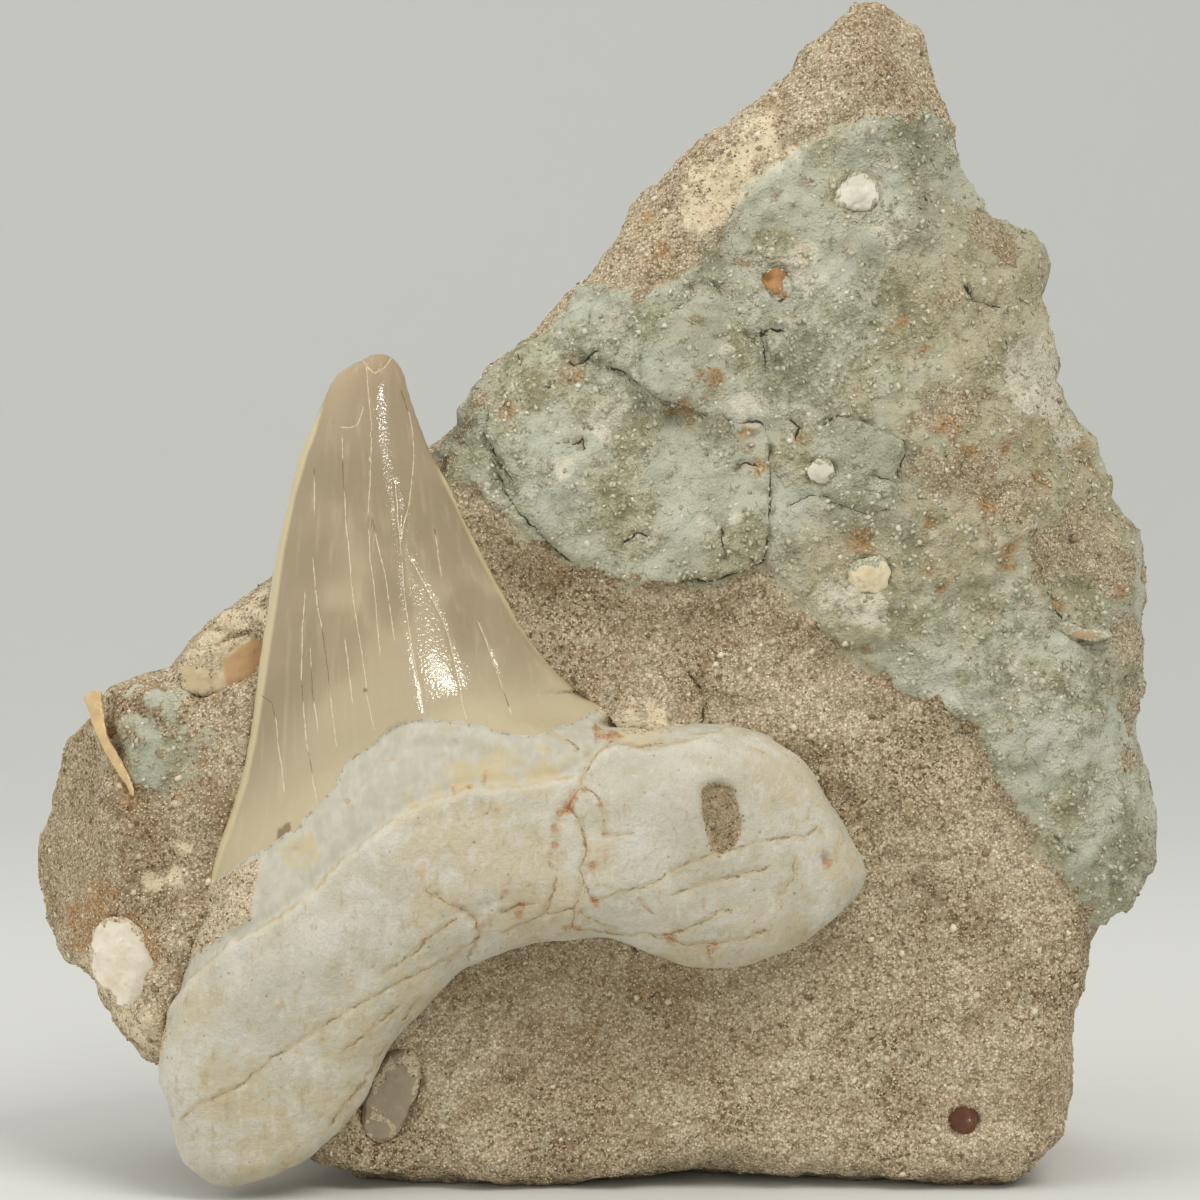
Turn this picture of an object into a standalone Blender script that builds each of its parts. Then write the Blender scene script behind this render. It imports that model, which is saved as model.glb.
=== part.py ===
"""A fossil shark tooth in the piece of phosphate sand rock that it was found in.

The stone stands on a small flat, and its face leans back a little. The tooth lies across the
lower left of that face, root lobes down, with the tip of its crown clear of the stone's edge.
Other fragments of teeth, bone and shell sit in pockets in the stone.

The tables are in millimetres: x to the right, y away from the viewer, z up from the flat.
"""

import math

import bmesh
import bpy
import numpy as np
from mathutils import Matrix, Vector, noise
from mathutils.bvhtree import BVHTree

MM = 0.001

# Driving sizes, in millimetres
STONE_FRONT = -11.0  # the face, at the foot of the stone
STONE_BACK = 20.0  # the back, at the foot of the stone
STONE_MIDDLE_X = 2.0
STONE_SPREAD = 1.018  # the widest section, just behind the face, against the outline
LOWER_LEAN = 0.03  # how fast the face leans back as it rises
LEAN_START = 62.0  # above this height it leans back faster
UPPER_LEAN = 0.11
RIGHT_FALL = 0.55  # how fast the face falls away beyond its right shoulder
RIGHT_SHOULDER = (28.8, 90.0)  # the upper end of that shoulder
SHOULDER_SLANT = 0.27
LEFT_FALL = 1.15  # how fast it falls away beyond its left shoulder
LEFT_SHOULDER = -43.6
RIM_WIDTH = 3.6  # the face is rounded off this near its outline
RIM_DROP = 2.4
BACK_NARROWING = 0.16  # how much narrower the back of the stone is than its middle
FACE_NARROWING = 0.02  # the same for its face
PRISM_DEPTH = 30.0  # of the flat prism that the stone is shaped from
FOOT_LIP = (2.2, 0.9, 7.0)  # height of the broken lower lip, and the height and length of its waves
FOOT_SLOPE = 2.6  # how fast the face falls away under that lip
STONE_LUMPS = [(14.0, 1.0, 1), (6.0, 0.9, 2)]  # size, height and seed of the lumps
STONE_RIDGES = (9.0, 0.6, 3)  # the same for the ridges between breaks
FACE_ROUGHNESS = 0.45  # the share of those lumps on the face
SIDE_ROUGHNESS = 0.9  # what the sides and the back add to it
FRACTURE_STEP = 1.5  # voxel that the rough stone is built with
STONE_TRIANGLES = 4400
MARL_THICKNESS = 1.8  # how far the green marl stands over the sand
TOOTH_GAP = 0.62  # between the tooth and its bed, before the bed is thinned out
BED_VOXEL = 0.9
BED_SHARE = 0.08  # the share of the bed's faces that is kept
PIECE_GAP = 0.35  # between a small piece and its pocket
CROWN_PLANE = -10.4  # the depth that the cutting edges lie at
ROOT_PLANE = -13.2  # the depth that the root is widest at
ENAMEL_STEP = 0.35  # how far the enamel stands over the root
BAND_RECESS = 1.3  # the smooth band under the enamel lies this far below the root

# The stone's outline from the front, clockwise from its lower left
STONE_OUTLINE = [
    (-24.6, 2.0), (-31.5, 6.0), (-40.2, 11.4), (-44.4, 15.4), (-46.0, 18.8), (-48.2, 20.3),
    (-50.0, 22.8), (-50.9, 27.4), (-50.3, 32.2), (-48.6, 37.4), (-46.3, 42.0), (-45.0, 44.6),
    (-42.0, 45.8), (-38.4, 47.6), (-35.6, 50.4), (-30.4, 54.2), (-22.5, 61.0), (-15.0, 67.2),
    (-11.8, 70.0), (-10.8, 73.0), (-7.2, 75.9), (-3.6, 79.2), (-0.6, 83.6), (3.8, 89.2),
    (6.6, 92.8), (9.2, 96.0), (13.6, 98.6), (20.8, 105.0), (24.0, 107.2), (26.4, 106.8), (28.8, 104.0),
    (30.8, 99.8), (32.4, 94.8), (35.4, 89.4), (38.6, 86.6), (39.8, 83.0), (40.0, 78.2),
    (41.4, 73.6), (43.2, 68.6), (45.9, 63.0), (49.2, 57.4), (50.2, 54.8), (49.6, 50.2),
    (48.5, 44.0), (48.6, 38.6), (50.1, 34.0), (50.4, 29.6), (48.4, 26.0), (45.2, 24.2),
    (44.2, 20.4), (42.8, 15.2), (42.8, 9.0), (42.4, 5.6), (38.6, 1.4), (32.6, -2.6),
    (10.0, -3.2), (-8.0, -3.0), (-17.0, -2.4), (-21.0, 0.2),
]

# The flat breaks of the back: (depth against the back's own, fall per mm of x, fall per mm of z)
BACK_BREAKS = [
    (0.6, 0.0, -0.05), (11.5, -0.22, -0.17), (10.0, 0.34, -0.06), (-1.0, 0.02, 0.30),
]

# The lower edge of the green marl, from the stone's left edge to its right edge
MARL_EDGE = [
    (-15.4, 66.6), (-13.4, 63.6), (-9.0, 61.0), (-6.4, 58.4), (-3.6, 57.0), (0.0, 55.0),
    (4.6, 54.0), (9.0, 54.4), (12.2, 55.4), (15.0, 56.6), (16.0, 53.6), (18.2, 51.8),
    (23.6, 47.2), (30.2, 43.6), (33.4, 41.8), (35.0, 38.0), (36.4, 34.8), (41.4, 29.2),
    (44.8, 24.0),
]

# Banks of sand that stand against the tooth: (height over the face, half width, line)
SAND_BANKS = [
    (3.4, 3.2, [(-33.8, 27.0), (-37.4, 21.6), (-40.0, 14.0)]),
    (3.6, 2.6, [(0.6, 44.6), (4.0, 43.8), (6.6, 44.0)]),
    (1.4, 4.0, [(-34.0, 36.0), (-31.6, 46.0), (-30.6, 52.0)]),
]

# Lumps and hollows of the marl: (middle, radius, height over the face)
MARL_LUMPS = [
    ((7.9, 77.0), 4.4, 1.5),
    ((7.2, 71.0), 1.7, -1.3),
    ((23.6, 67.6), 3.8, 0.9),
    ((-4.0, 66.0), 6.0, 0.7),
    ((24.5, 56.6), 3.4, 0.9),
    ((30.0, 80.0), 5.0, -1.0),
    ((37.0, 63.0), 4.0, 0.9),
    ((33.0, 54.0), 3.0, -0.8),
    ((40.0, 46.0), 5.0, 0.9),
]

# The crown's cutting edges, from the foot of each to the blunt tip
CROWN_LEFT = [
    (-35.8, 27.4), (-34.5, 31.6), (-33.1, 35.6), (-31.9, 40.0), (-31.2, 44.2), (-30.6, 48.4),
    (-29.9, 53.4), (-29.1, 58.2), (-28.1, 62.6), (-27.0, 66.8), (-25.4, 70.6), (-24.0, 73.6),
    (-22.9, 74.8), (-21.2, 75.6),
]
CROWN_RIGHT = [
    (1.4, 44.6), (-2.1, 46.1), (-4.5, 48.0), (-6.7, 50.9), (-8.8, 54.5), (-10.4, 57.5),
    (-12.0, 60.8), (-13.7, 64.3), (-15.3, 67.3), (-16.5, 70.3), (-17.5, 73.4), (-18.2, 75.2),
    (-19.6, 76.2),
]
# The enamel's lower edge, from the left foot of the crown to the right one
ENAMEL_EDGE = [
    (-35.8, 27.4), (-33.4, 29.2), (-30.8, 30.6), (-28.0, 32.0), (-25.6, 34.2), (-23.7, 36.9),
    (-22.6, 38.9), (-20.3, 40.4), (-18.3, 41.7), (-15.0, 42.5), (-12.0, 42.2), (-9.4, 41.6),
    (-6.7, 41.3), (-3.8, 41.8), (-1.1, 42.8), (1.4, 44.6),
]
# Where the smooth band under the enamel ends and the rough root begins
BAND_EDGE = [
    (-37.6, 18.6), (-34.6, 21.2), (-30.2, 24.0), (-24.8, 28.6), (-21.6, 31.0), (-18.6, 33.4),
    (-15.6, 35.0), (-12.6, 36.4), (-9.4, 36.8), (-3.6, 37.0), (0.6, 38.4), (5.0, 39.4),
    (8.6, 40.8), (12.0, 41.4),
]

# The amber blade at the stone's left edge and the curved shell at its right, down the middle
BLADE_LINE = [(-45.9, 44.8), (-44.9, 42.4), (-43.2, 38.8), (-42.0, 35.4)]
SHELL_LINE = [(40.2, 52.6), (41.6, 51.0), (43.4, 50.3), (46.0, 50.4)]

# The worn pieces that lie in the face: middle, three radii, share that stands proud, turn in
# degrees, seed and strength of the unevenness, colour, roughness
PEBBLES = {
    "cream_bone": ((-34.6, 48.0), (4.3, 2.4, 2.3), 0.45, -24, 4, 0.12, (0.74, 0.58, 0.40), 0.45),
    "white_bone": ((-43.1, 20.9), (2.3, 3.0, 4.2), 0.35, -28, 6, 0.12, (0.84, 0.79, 0.68), 0.6),
    "cream_pebble": ((24.2, 56.2), (1.5, 1.5, 1.2), 0.4, 20, 8, 0.12, (0.78, 0.71, 0.56), 0.7),
    "white_pebble": ((20.1, 65.6), (1.0, 1.2, 0.8), 0.4, -18, 9, 0.12, (0.85, 0.80, 0.72), 0.7),
    "chalk_pebble": ((23.2, 90.4), (1.8, 1.5, 1.3), 0.4, -30, 10, 0.12, (0.86, 0.82, 0.72), 0.7),
    "rust_nodule": ((16.0, 82.2), (0.9, 1.2, 1.1), 0.35, 10, 11, 0.12, (0.52, 0.32, 0.14), 0.75),
    "brown_pellet": ((33.1, 6.6), (0.95, 1.2, 0.85), 0.4, 0, 12, 0.12, (0.24, 0.10, 0.04), 0.5),
    "grey_clast": ((-18.9, 8.8), (1.8, 1.8, 4.4), 0.3, 22, 13, 0.06, (0.50, 0.43, 0.36), 0.5),
}
# The thin curved blades on edge in the face: line, widths along it, height over the face, depth
# into the stone, colour, roughness
SLIVERS = {
    "amber_blade": (BLADE_LINE, [1.9, 1.2, 0.8, 0.5], 0.9, 5.0, (0.70, 0.53, 0.30), 0.3),
    "shell_sliver": (SHELL_LINE, [0.5, 0.9, 0.9, 0.5], 0.8, 3.6, (0.72, 0.60, 0.40), 0.5),
}

# The root's sections, from the end of the long left lobe to the end of the right lobe:
# upper edge, lower edge, height of the front, depth of the back
ROOT_SECTIONS = [
    ((-35.4, 1.5), (-33.2, 1.0), 1.0, 1.0),
    ((-37.7, 3.5), (-30.0, 1.8), 2.8, 2.6),
    ((-38.4, 6.2), (-26.0, 3.9), 3.9, 3.6),
    ((-39.0, 9.2), (-22.4, 7.4), 4.6, 4.4),
    ((-39.7, 11.8), (-20.6, 10.2), 5.0, 5.0),
    ((-38.5, 17.6), (-18.6, 14.4), 5.6, 6.2),
    ((-36.6, 22.4), (-15.0, 18.2), 6.1, 7.6),
    ((-33.4, 28.6), (-12.2, 20.9), 6.6, 8.4),
    ((-27.6, 36.0), (-8.8, 22.2), 7.0, 8.8),
    ((-20.0, 43.4), (-5.4, 23.2), 7.4, 9.0),
    ((-10.0, 45.0), (-2.0, 23.6), 7.6, 9.0),
    ((-1.0, 42.8), (1.4, 23.6), 7.5, 8.8),
    ((6.4, 42.7), (5.2, 22.2), 7.1, 8.4),
    ((12.6, 42.7), (9.4, 21.0), 6.6, 7.8),
    ((17.8, 40.0), (14.0, 21.7), 6.0, 6.8),
    ((20.4, 36.2), (17.9, 23.5), 5.2, 5.4),
    ((22.4, 32.7), (20.8, 25.6), 4.2, 3.8),
    ((23.8, 29.9), (23.4, 28.2), 1.8, 1.4),
]
ROOT_FULLNESS = 2.9  # the power of the root's rounded sections
ROOT_STEPS = 36  # sections along the root
ROOT_ROUND = 26  # points round a section

# The crown's height over its cutting edges, at its foot, part way up and at the tip
CROWN_HEIGHTS = [(0.0, 6.2), (0.25, 5.6), (0.5, 4.4), (0.75, 3.0), (0.92, 1.9), (1.0, 1.0)]
CROWN_BACK_SHARE = 0.35  # the far side bulges this share of the near side
CROWN_LENS = (2.3, 0.85)  # the powers of the rounded section of the crown
CROWN_SAG = 1.6  # how soon the curve of the enamel's lower edge dies out up the crown
CROWN_STEPS = 20
CROWN_ACROSS = 12
CROWN_TUCK = 3.0  # how far the crown runs on under the root's surface
EDGE_HALF_THICKNESS = 0.26  # of a cutting edge


def material(name, colour, roughness):
    made = bpy.data.materials.new(name)
    made.use_nodes = True
    shader = made.node_tree.nodes["Principled BSDF"]
    shader.inputs["Base Color"].default_value = (*colour, 1.0)
    shader.inputs["Roughness"].default_value = roughness
    shader.inputs["Metallic"].default_value = 0.0
    return made


def smooth_curve(points, at):
    """A Catmull-Rom curve through the rows of points, read at shares 0 to 1 of its spans."""
    points = np.asarray(points, float)
    spans = len(points) - 1
    ends = np.vstack([2 * points[0] - points[1], points, 2 * points[-1] - points[-2]])
    place = np.clip(np.asarray(at, float), 0, 1) * spans
    span = np.minimum(place.astype(int), spans - 1)
    t = (place - span)[:, None]
    a, b, c, d = (ends[span + k] for k in range(4))
    return b + 0.5 * t * (c - a + t * (2 * a - 5 * b + 4 * c - d + t * (3 * (b - c) + d - a)))


def even_shares(points, count):
    """Shares of smooth_curve that lie an even way apart along the line."""
    fine = np.linspace(0, 1, 200)
    line = smooth_curve(points, fine)
    length = np.concatenate([[0], np.cumsum(np.linalg.norm(np.diff(line, axis=0), axis=1))])
    return np.interp(np.linspace(0, length[-1], count), length, fine)


def line_distance(places, line, closed=False):
    """How far each (x, z) place is from a line of straight runs."""
    line = np.asarray(line, float)
    if closed:
        line = np.vstack([line, line[:1]])
    nearest = np.full(len(places), 1e9)
    for start, end in zip(line[:-1], line[1:]):
        run = end - start
        share = np.clip((places - start) @ run / (run @ run), 0, 1)
        nearest = np.minimum(nearest, np.linalg.norm(places - start - share[:, None] * run, axis=1))
    return nearest


def above_line(places, line):
    """How far each place is above a line that runs left to right, negative below it."""
    line = np.asarray(line, float)
    level = np.interp(places[:, 0], line[:, 0], line[:, 1])
    return np.where(places[:, 1] > level, 1, -1) * line_distance(places, line)


def step(value, low, high):
    """0 below low, 1 above high, and smooth between."""
    share = np.clip((value - low) / (high - low), 0, 1)
    return share * share * (3 - 2 * share)


def rough(points, size, seed):
    """Smooth noise, about -1 to 1, with lumps of a size in millimetres."""
    shift = Vector((seed * 17.3, seed * 5.1, seed * 9.7))
    return np.array([noise.noise(Vector(p) / size + shift) for p in points])


def object_of(mesh, name, collection):
    made = bpy.data.objects.new(name, mesh)
    collection.objects.link(made)
    return made


def evaluated_mesh(source, name):
    """The mesh that an object's modifiers make, with its points merged."""
    bpy.context.view_layer.update()
    graph = bpy.context.evaluated_depsgraph_get()
    mesh = bpy.data.meshes.new_from_object(source.evaluated_get(graph))
    mesh.name = name
    mesh.transform(source.matrix_world)
    shape = bmesh.new()
    shape.from_mesh(mesh)
    bmesh.ops.remove_doubles(shape, verts=shape.verts, dist=0.00001)
    shape.to_mesh(mesh)
    shape.free()
    return mesh


def with_modifiers(mesh, name, helpers, *settings):
    """A mesh put through modifiers, each given as (type, values)."""
    source = object_of(mesh, name, helpers)
    for kind, values in settings:
        modifier = source.modifiers.new(kind.title(), kind)
        for key, value in values.items():
            setattr(modifier, key, value)
    made = evaluated_mesh(source, name)
    bpy.data.objects.remove(source)
    return made


def coordinates(mesh):
    """The mesh's points as rows, in millimetres."""
    flat = np.empty(len(mesh.vertices) * 3, np.float32)
    mesh.vertices.foreach_get("co", flat)
    return flat.reshape(-1, 3).astype(float) / MM


def directions(mesh):
    """The outward direction at each point."""
    flat = np.empty(len(mesh.vertices) * 3, np.float32)
    mesh.vertex_normals.foreach_get("vector", flat)
    return flat.reshape(-1, 3).astype(float)


def move_points(mesh, points):
    mesh.vertices.foreach_set("co", (points * MM).astype(np.float32).ravel())
    mesh.update()


def extruded_outline(outline, depth, name, helpers):
    """A flat outline in the x-z plane, extruded along y to half the depth on either side."""
    curve = bpy.data.curves.new(name, "CURVE")
    curve.dimensions = "2D"
    curve.fill_mode = "BOTH"
    curve.extrude = depth / 2 * MM
    spline = curve.splines.new("POLY")
    spline.points.add(len(outline) - 1)
    for point, (x, z) in zip(spline.points, outline):
        point.co = (x * MM, z * MM, 0, 1)
    spline.use_cyclic_u = True
    drawn = object_of(curve, name, helpers)
    drawn.rotation_euler = (math.pi / 2, 0, 0)
    mesh = evaluated_mesh(drawn, name)
    bpy.data.objects.remove(drawn)
    return mesh


def stone_front(x, z):
    """The depth of the stone's face, without its fine roughness."""
    places = np.column_stack([x, z])
    depth = STONE_FRONT + LOWER_LEAN * z + UPPER_LEAN * np.maximum(z - LEAN_START, 0)
    shoulder_x, shoulder_z = RIGHT_SHOULDER
    depth += RIGHT_FALL * np.maximum(x - shoulder_x - SHOULDER_SLANT * (shoulder_z - z), 0)
    depth += LEFT_FALL * np.maximum(LEFT_SHOULDER - x, 0)
    marl = above_line(places, MARL_EDGE)
    depth -= MARL_THICKNESS * step(marl, -0.3, 1.1) * (0.4 + 0.6 * step(-x, -24, -6))
    for (lump_x, lump_z), radius, height in MARL_LUMPS:
        away = np.hypot(x - lump_x, z - lump_z) / radius
        depth -= height * np.exp(-(away**2))
    for height, half_width, line in SAND_BANKS:
        depth -= height * np.exp(-((line_distance(places, line) / half_width) ** 2))
    edge = line_distance(places, STONE_OUTLINE, closed=True)
    depth += RIM_DROP * np.clip(1 - edge / RIM_WIDTH, 0, 1) ** 2 * step(z, 4, 8)
    lip_height, wave_height, wave_length = FOOT_LIP
    lip = lip_height + wave_height * np.sin(x / wave_length)
    return np.maximum(depth, STONE_FRONT + FOOT_SLOPE * (lip - z))


def stone_back(x, z):
    """The depth of the stone's broken back: the nearest of a few flat breaks."""
    breaks = [STONE_BACK + start + by_x * x + by_z * z for start, by_x, by_z in BACK_BREAKS]
    return np.minimum.reduce(breaks)


def rough_stone(helpers):
    """The stone before the tooth's bed is cut: its outline, its breaks and its roughness."""
    prism = extruded_outline(STONE_OUTLINE, PRISM_DEPTH, "rough_stone", helpers)
    voxels = {"mode": "VOXEL", "voxel_size": FRACTURE_STEP * MM}
    stone = with_modifiers(prism, "rough_stone", helpers, ("REMESH", voxels))
    points = coordinates(stone)
    share = np.clip(points[:, 1] / PRISM_DEPTH + 0.5, 0, 1)
    x, z = points[:, 0], points[:, 2]
    front, back = stone_front(x, z), stone_back(x, z)
    narrowing = 1 - BACK_NARROWING * (np.maximum(share - 0.2, 0) / 0.8) ** 2
    narrowing -= FACE_NARROWING * (np.maximum(0.2 - share, 0) / 0.2) ** 2
    points[:, 0] = STONE_MIDDLE_X + (x - STONE_MIDDLE_X) * narrowing * STONE_SPREAD
    points[:, 2] = np.where(z > 0, z * narrowing, z)
    points[:, 1] = front + share * (back - front)
    move_points(stone, points)
    facing = directions(stone)
    ridge_size, ridge_height, ridge_seed = STONE_RIDGES
    lumps = ridge_height * np.abs(rough(points, ridge_size, ridge_seed))
    for size, height, seed in STONE_LUMPS:
        lumps += height * rough(points, size, seed)
    strength = FACE_ROUGHNESS + SIDE_ROUGHNESS * step(points[:, 1], -6, 4)
    move_points(stone, points + facing * (lumps * strength)[:, None])
    thinning = {"ratio": STONE_TRIANGLES / (2 * len(stone.polygons))}
    return with_modifiers(stone, "rough_stone", helpers, ("DECIMATE", thinning))


def cut_flat(mesh):
    """Cuts the mesh at z = 0 and fills the cut, which is the flat that the stone stands on."""
    shape = bmesh.new()
    shape.from_mesh(mesh)
    everything = shape.verts[:] + shape.edges[:] + shape.faces[:]
    cut = bmesh.ops.bisect_plane(
        shape, geom=everything, plane_co=(0, 0, 0), plane_no=(0, 0, 1), clear_inner=True
    )
    rim = [item for item in cut["geom_cut"] if isinstance(item, bmesh.types.BMEdge)]
    bmesh.ops.holes_fill(shape, edges=rim)
    bmesh.ops.triangulate(shape, faces=shape.faces)
    bmesh.ops.recalc_face_normals(shape, faces=shape.faces)
    shape.to_mesh(mesh)
    shape.free()


def loft(rings, name):
    """A closed mesh through rings of points in millimetres, with its two ends filled."""
    shape = bmesh.new()
    rows = [[shape.verts.new(Vector(point) * MM) for point in ring] for ring in rings]
    for near, far in zip(rows[:-1], rows[1:]):
        for k in range(len(near)):
            after = (k + 1) % len(near)
            shape.faces.new((near[k], near[after], far[after], far[k]))
    shape.faces.new(rows[0][::-1])
    shape.faces.new(rows[-1])
    bmesh.ops.recalc_face_normals(shape, faces=shape.faces)
    mesh = bpy.data.meshes.new(name)
    shape.to_mesh(mesh)
    shape.free()
    return mesh


def root_mesh():
    """The root: rounded sections along its two lobes, with the band under the enamel set back."""
    table = [[*upper, *lower, front, back] for upper, lower, front, back in ROOT_SECTIONS]
    rows = smooth_curve(table, np.linspace(0, 1, ROOT_STEPS))
    turns = np.linspace(0, 2 * math.pi, ROOT_ROUND, endpoint=False)
    power = 2 / ROOT_FULLNESS
    across = np.sign(np.cos(turns)) * np.abs(np.cos(turns)) ** power
    height = np.sign(np.sin(turns)) * np.abs(np.sin(turns)) ** power
    rings = []
    for row in rows:
        upper, lower, front, back = row[0:2], row[2:4], row[4], row[5]
        places = (upper + lower) / 2 + np.outer(across, (lower - upper) / 2)
        depth = ROOT_PLANE - np.where(height > 0, front, back) * height
        band = step(above_line(places, BAND_EDGE), -0.6, 0.8) * (height > 0.2)
        rings.append(np.column_stack([places[:, 0], depth + BAND_RECESS * band, places[:, 1]]))
    return loft(rings, "root")


def tree_of(mesh):
    """A tree for finding the mesh's surface."""
    return BVHTree.FromPolygons([v.co for v in mesh.vertices], [p.vertices for p in mesh.polygons])


def surface_depth(tree, x, z, fallback):
    """The depth of the first surface that the viewer's line at (x, z) meets."""
    hit = tree.ray_cast(Vector((x, -100.0, z)) * MM, Vector((0, 1, 0)))[0]
    return hit.y / MM if hit else fallback


def crown_mesh(root):
    """The crown: lens sections from the enamel's lower edge to the tip, run on into the root."""
    tree = tree_of(root)
    up = np.linspace(0, 1, CROWN_STEPS)
    left = smooth_curve(CROWN_LEFT, even_shares(CROWN_LEFT, CROWN_STEPS))
    right = smooth_curve(CROWN_RIGHT, even_shares(CROWN_RIGHT, CROWN_STEPS))
    across = np.linspace(0, 1, CROWN_ACROSS + 1)
    foot = smooth_curve(ENAMEL_EDGE, even_shares(ENAMEL_EDGE, CROWN_ACROSS + 1))
    sag = foot - (foot[0] + across[:, None] * (foot[-1] - foot[0]))
    flatness, roundness = CROWN_LENS
    lens = (1 - np.abs(2 * across - 1) ** flatness) ** roundness
    rise = np.interp(up, *np.array(CROWN_HEIGHTS).T)
    rings = []
    for row in range(-1, CROWN_STEPS):
        at = max(row, 0)
        places = left[at] + across[:, None] * (right[at] - left[at])
        places = places + sag * (1 - up[at]) ** CROWN_SAG
        front = CROWN_PLANE - EDGE_HALF_THICKNESS - rise[at] * lens
        seated = [surface_depth(tree, x, z, front[k]) for k, (x, z) in enumerate(places)]
        bond = (1 - step(up[at], 0.0, 0.22)) * lens ** 0.3
        front = front * (1 - bond) + bond * (np.array(seated) - ENAMEL_STEP)
        if row < 0:
            places = places - [0.0, CROWN_TUCK]
            front = front + CROWN_TUCK
        back = CROWN_PLANE + EDGE_HALF_THICKNESS + CROWN_BACK_SHARE * rise[at] * lens
        front = np.minimum(front, CROWN_PLANE - EDGE_HALF_THICKNESS)
        near = np.column_stack([places[:, 0], front, places[:, 1]])
        far = np.column_stack([places[:, 0], back, places[:, 1]])
        rings.append(np.vstack([near, far[::-1]]))
    return loft(rings, "crown")


def boolean(mesh, cutter, operation, name, helpers):
    """The two meshes joined, or the second taken out of the first."""
    tool = object_of(cutter, name + "_cutter", helpers)
    tool.hide_render = True
    tool.display_type = "WIRE"
    values = {"object": tool, "operation": operation}
    return with_modifiers(mesh, name, helpers, ("BOOLEAN", values))


def grown(mesh, gap, name):
    """A copy with every point moved out by a gap in millimetres."""
    copy = mesh.copy()
    copy.name = name
    move_points(copy, coordinates(copy) + directions(copy) * gap)
    return copy


def tooth_bed(tooth, helpers):
    """The room that the tooth takes in the stone: a grown copy with few faces."""
    swollen = grown(tooth, TOOTH_GAP, "tooth_bed")
    voxels = ("REMESH", {"mode": "VOXEL", "voxel_size": BED_VOXEL * MM})
    thinning = ("DECIMATE", {"ratio": BED_SHARE})
    return with_modifiers(swollen, "tooth_bed", helpers, voxels, thinning)


def pebble(name, tree, place, radii, proud, turn, seed, unevenness):
    """A worn piece: a sphere stretched to three radii, turned in the face and made uneven.

    Its middle is set so that it stands proud of the stone's face by a share of its own depth.
    """
    shape = bmesh.new()
    bmesh.ops.create_icosphere(shape, subdivisions=2, radius=1.0)
    mesh = bpy.data.meshes.new(name)
    shape.to_mesh(mesh)
    shape.free()
    points = np.array([v.co for v in mesh.vertices], float)
    points *= (1 + unevenness * rough(points, 0.9, seed))[:, None]
    points *= radii
    turned = points @ np.array(Matrix.Rotation(math.radians(turn), 3, "Y")).T
    depth = surface_depth(tree, *place, STONE_FRONT) + radii[1] * (1 - 2 * proud)
    move_points(mesh, turned + [place[0], depth, place[1]])
    return mesh


def sliver(name, tree, line, widths, proud, depth):
    """A thin curved blade on edge: a strip along a line in the face, sunk into the stone."""
    line = np.asarray(line, float)
    shares = even_shares(line, 9)
    middle = smooth_curve(line, shares)
    along = np.gradient(middle, axis=0)
    along /= np.linalg.norm(along, axis=1)[:, None]
    side = np.column_stack([-along[:, 1], along[:, 0]])
    half = np.interp(shares, np.linspace(0, 1, len(widths)), widths) / 2
    level = np.array([surface_depth(tree, x, z, STONE_FRONT) for x, z in middle])
    trend = np.polyval(np.polyfit(shares, level, 1), shares) - proud
    rings = []
    for place, out, width, near in zip(middle, side, half, trend):
        left, right = place - out * width, place + out * width
        inner_left, inner_right = place - out * width * 0.7, place + out * width * 0.7
        corners = [(left, near + 0.5), (place, near), (right, near + 0.4)]
        corners += [(inner_right, near + depth), (inner_left, near + depth)]
        rings.append([(x, deep, z) for (x, z), deep in corners])
    return loft(rings, name)


def centre_on_base(meshes):
    """Moves all the meshes so that the middle of the whole piece's base is the origin."""
    points = np.vstack([coordinates(mesh) for mesh in meshes])
    low, high = points.min(axis=0), points.max(axis=0)
    middle = [(low[0] + high[0]) / 2, (low[1] + high[1]) / 2, low[2]]
    for mesh in meshes:
        move_points(mesh, coordinates(mesh) - middle)


def stand_in(mesh, name, colour, roughness, collection):
    """Gives a finished mesh its object, its name and its material."""
    mesh.name = name
    mesh.materials.clear()
    mesh.materials.append(material(name, colour, roughness))
    return object_of(mesh, name, collection)


def main():
    for existing in list(bpy.data.objects):
        bpy.data.objects.remove(existing)
    parts = bpy.data.collections.new("fossil_shark_tooth")
    helpers = bpy.data.collections.new("cutters")
    for group in (parts, helpers):
        bpy.context.scene.collection.children.link(group)

    root = root_mesh()
    tooth = boolean(root, crown_mesh(root), "UNION", "shark_tooth", helpers)
    stone = rough_stone(helpers)
    cut_flat(stone)
    stone = boolean(stone, tooth_bed(tooth, helpers), "DIFFERENCE", "stone", helpers)
    face = tree_of(stone)
    pieces = []
    for name, (*shape, colour, roughness) in PEBBLES.items():
        pieces.append((pebble(name, face, *shape), name, colour, roughness))
    for name, (*shape, colour, roughness) in SLIVERS.items():
        pieces.append((sliver(name, face, *shape), name, colour, roughness))
    for mesh, name, colour, roughness in pieces:
        pocket = grown(mesh, PIECE_GAP, name + "_pocket")
        stone = boolean(stone, pocket, "DIFFERENCE", "stone", helpers)
        stand_in(mesh, name, colour, roughness, parts)
    stand_in(tooth, "shark_tooth", (0.78, 0.74, 0.66), 0.5, parts)
    stand_in(stone, "stone", (0.56, 0.50, 0.40), 0.9, parts)
    centre_on_base([piece.data for piece in parts.objects])


main()
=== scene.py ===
"""A fossil shark tooth in its sand rock: fine surfaces, finishes, loose grains and the studio.

Lengths are in millimetres unless a name says otherwise. Places in the photo are pixels of its
1200 by 1200 frame, counted from the upper left corner.
"""

import math

import bmesh
import bpy
import numpy as np
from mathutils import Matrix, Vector, noise
from mathutils.bvhtree import BVHTree


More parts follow.
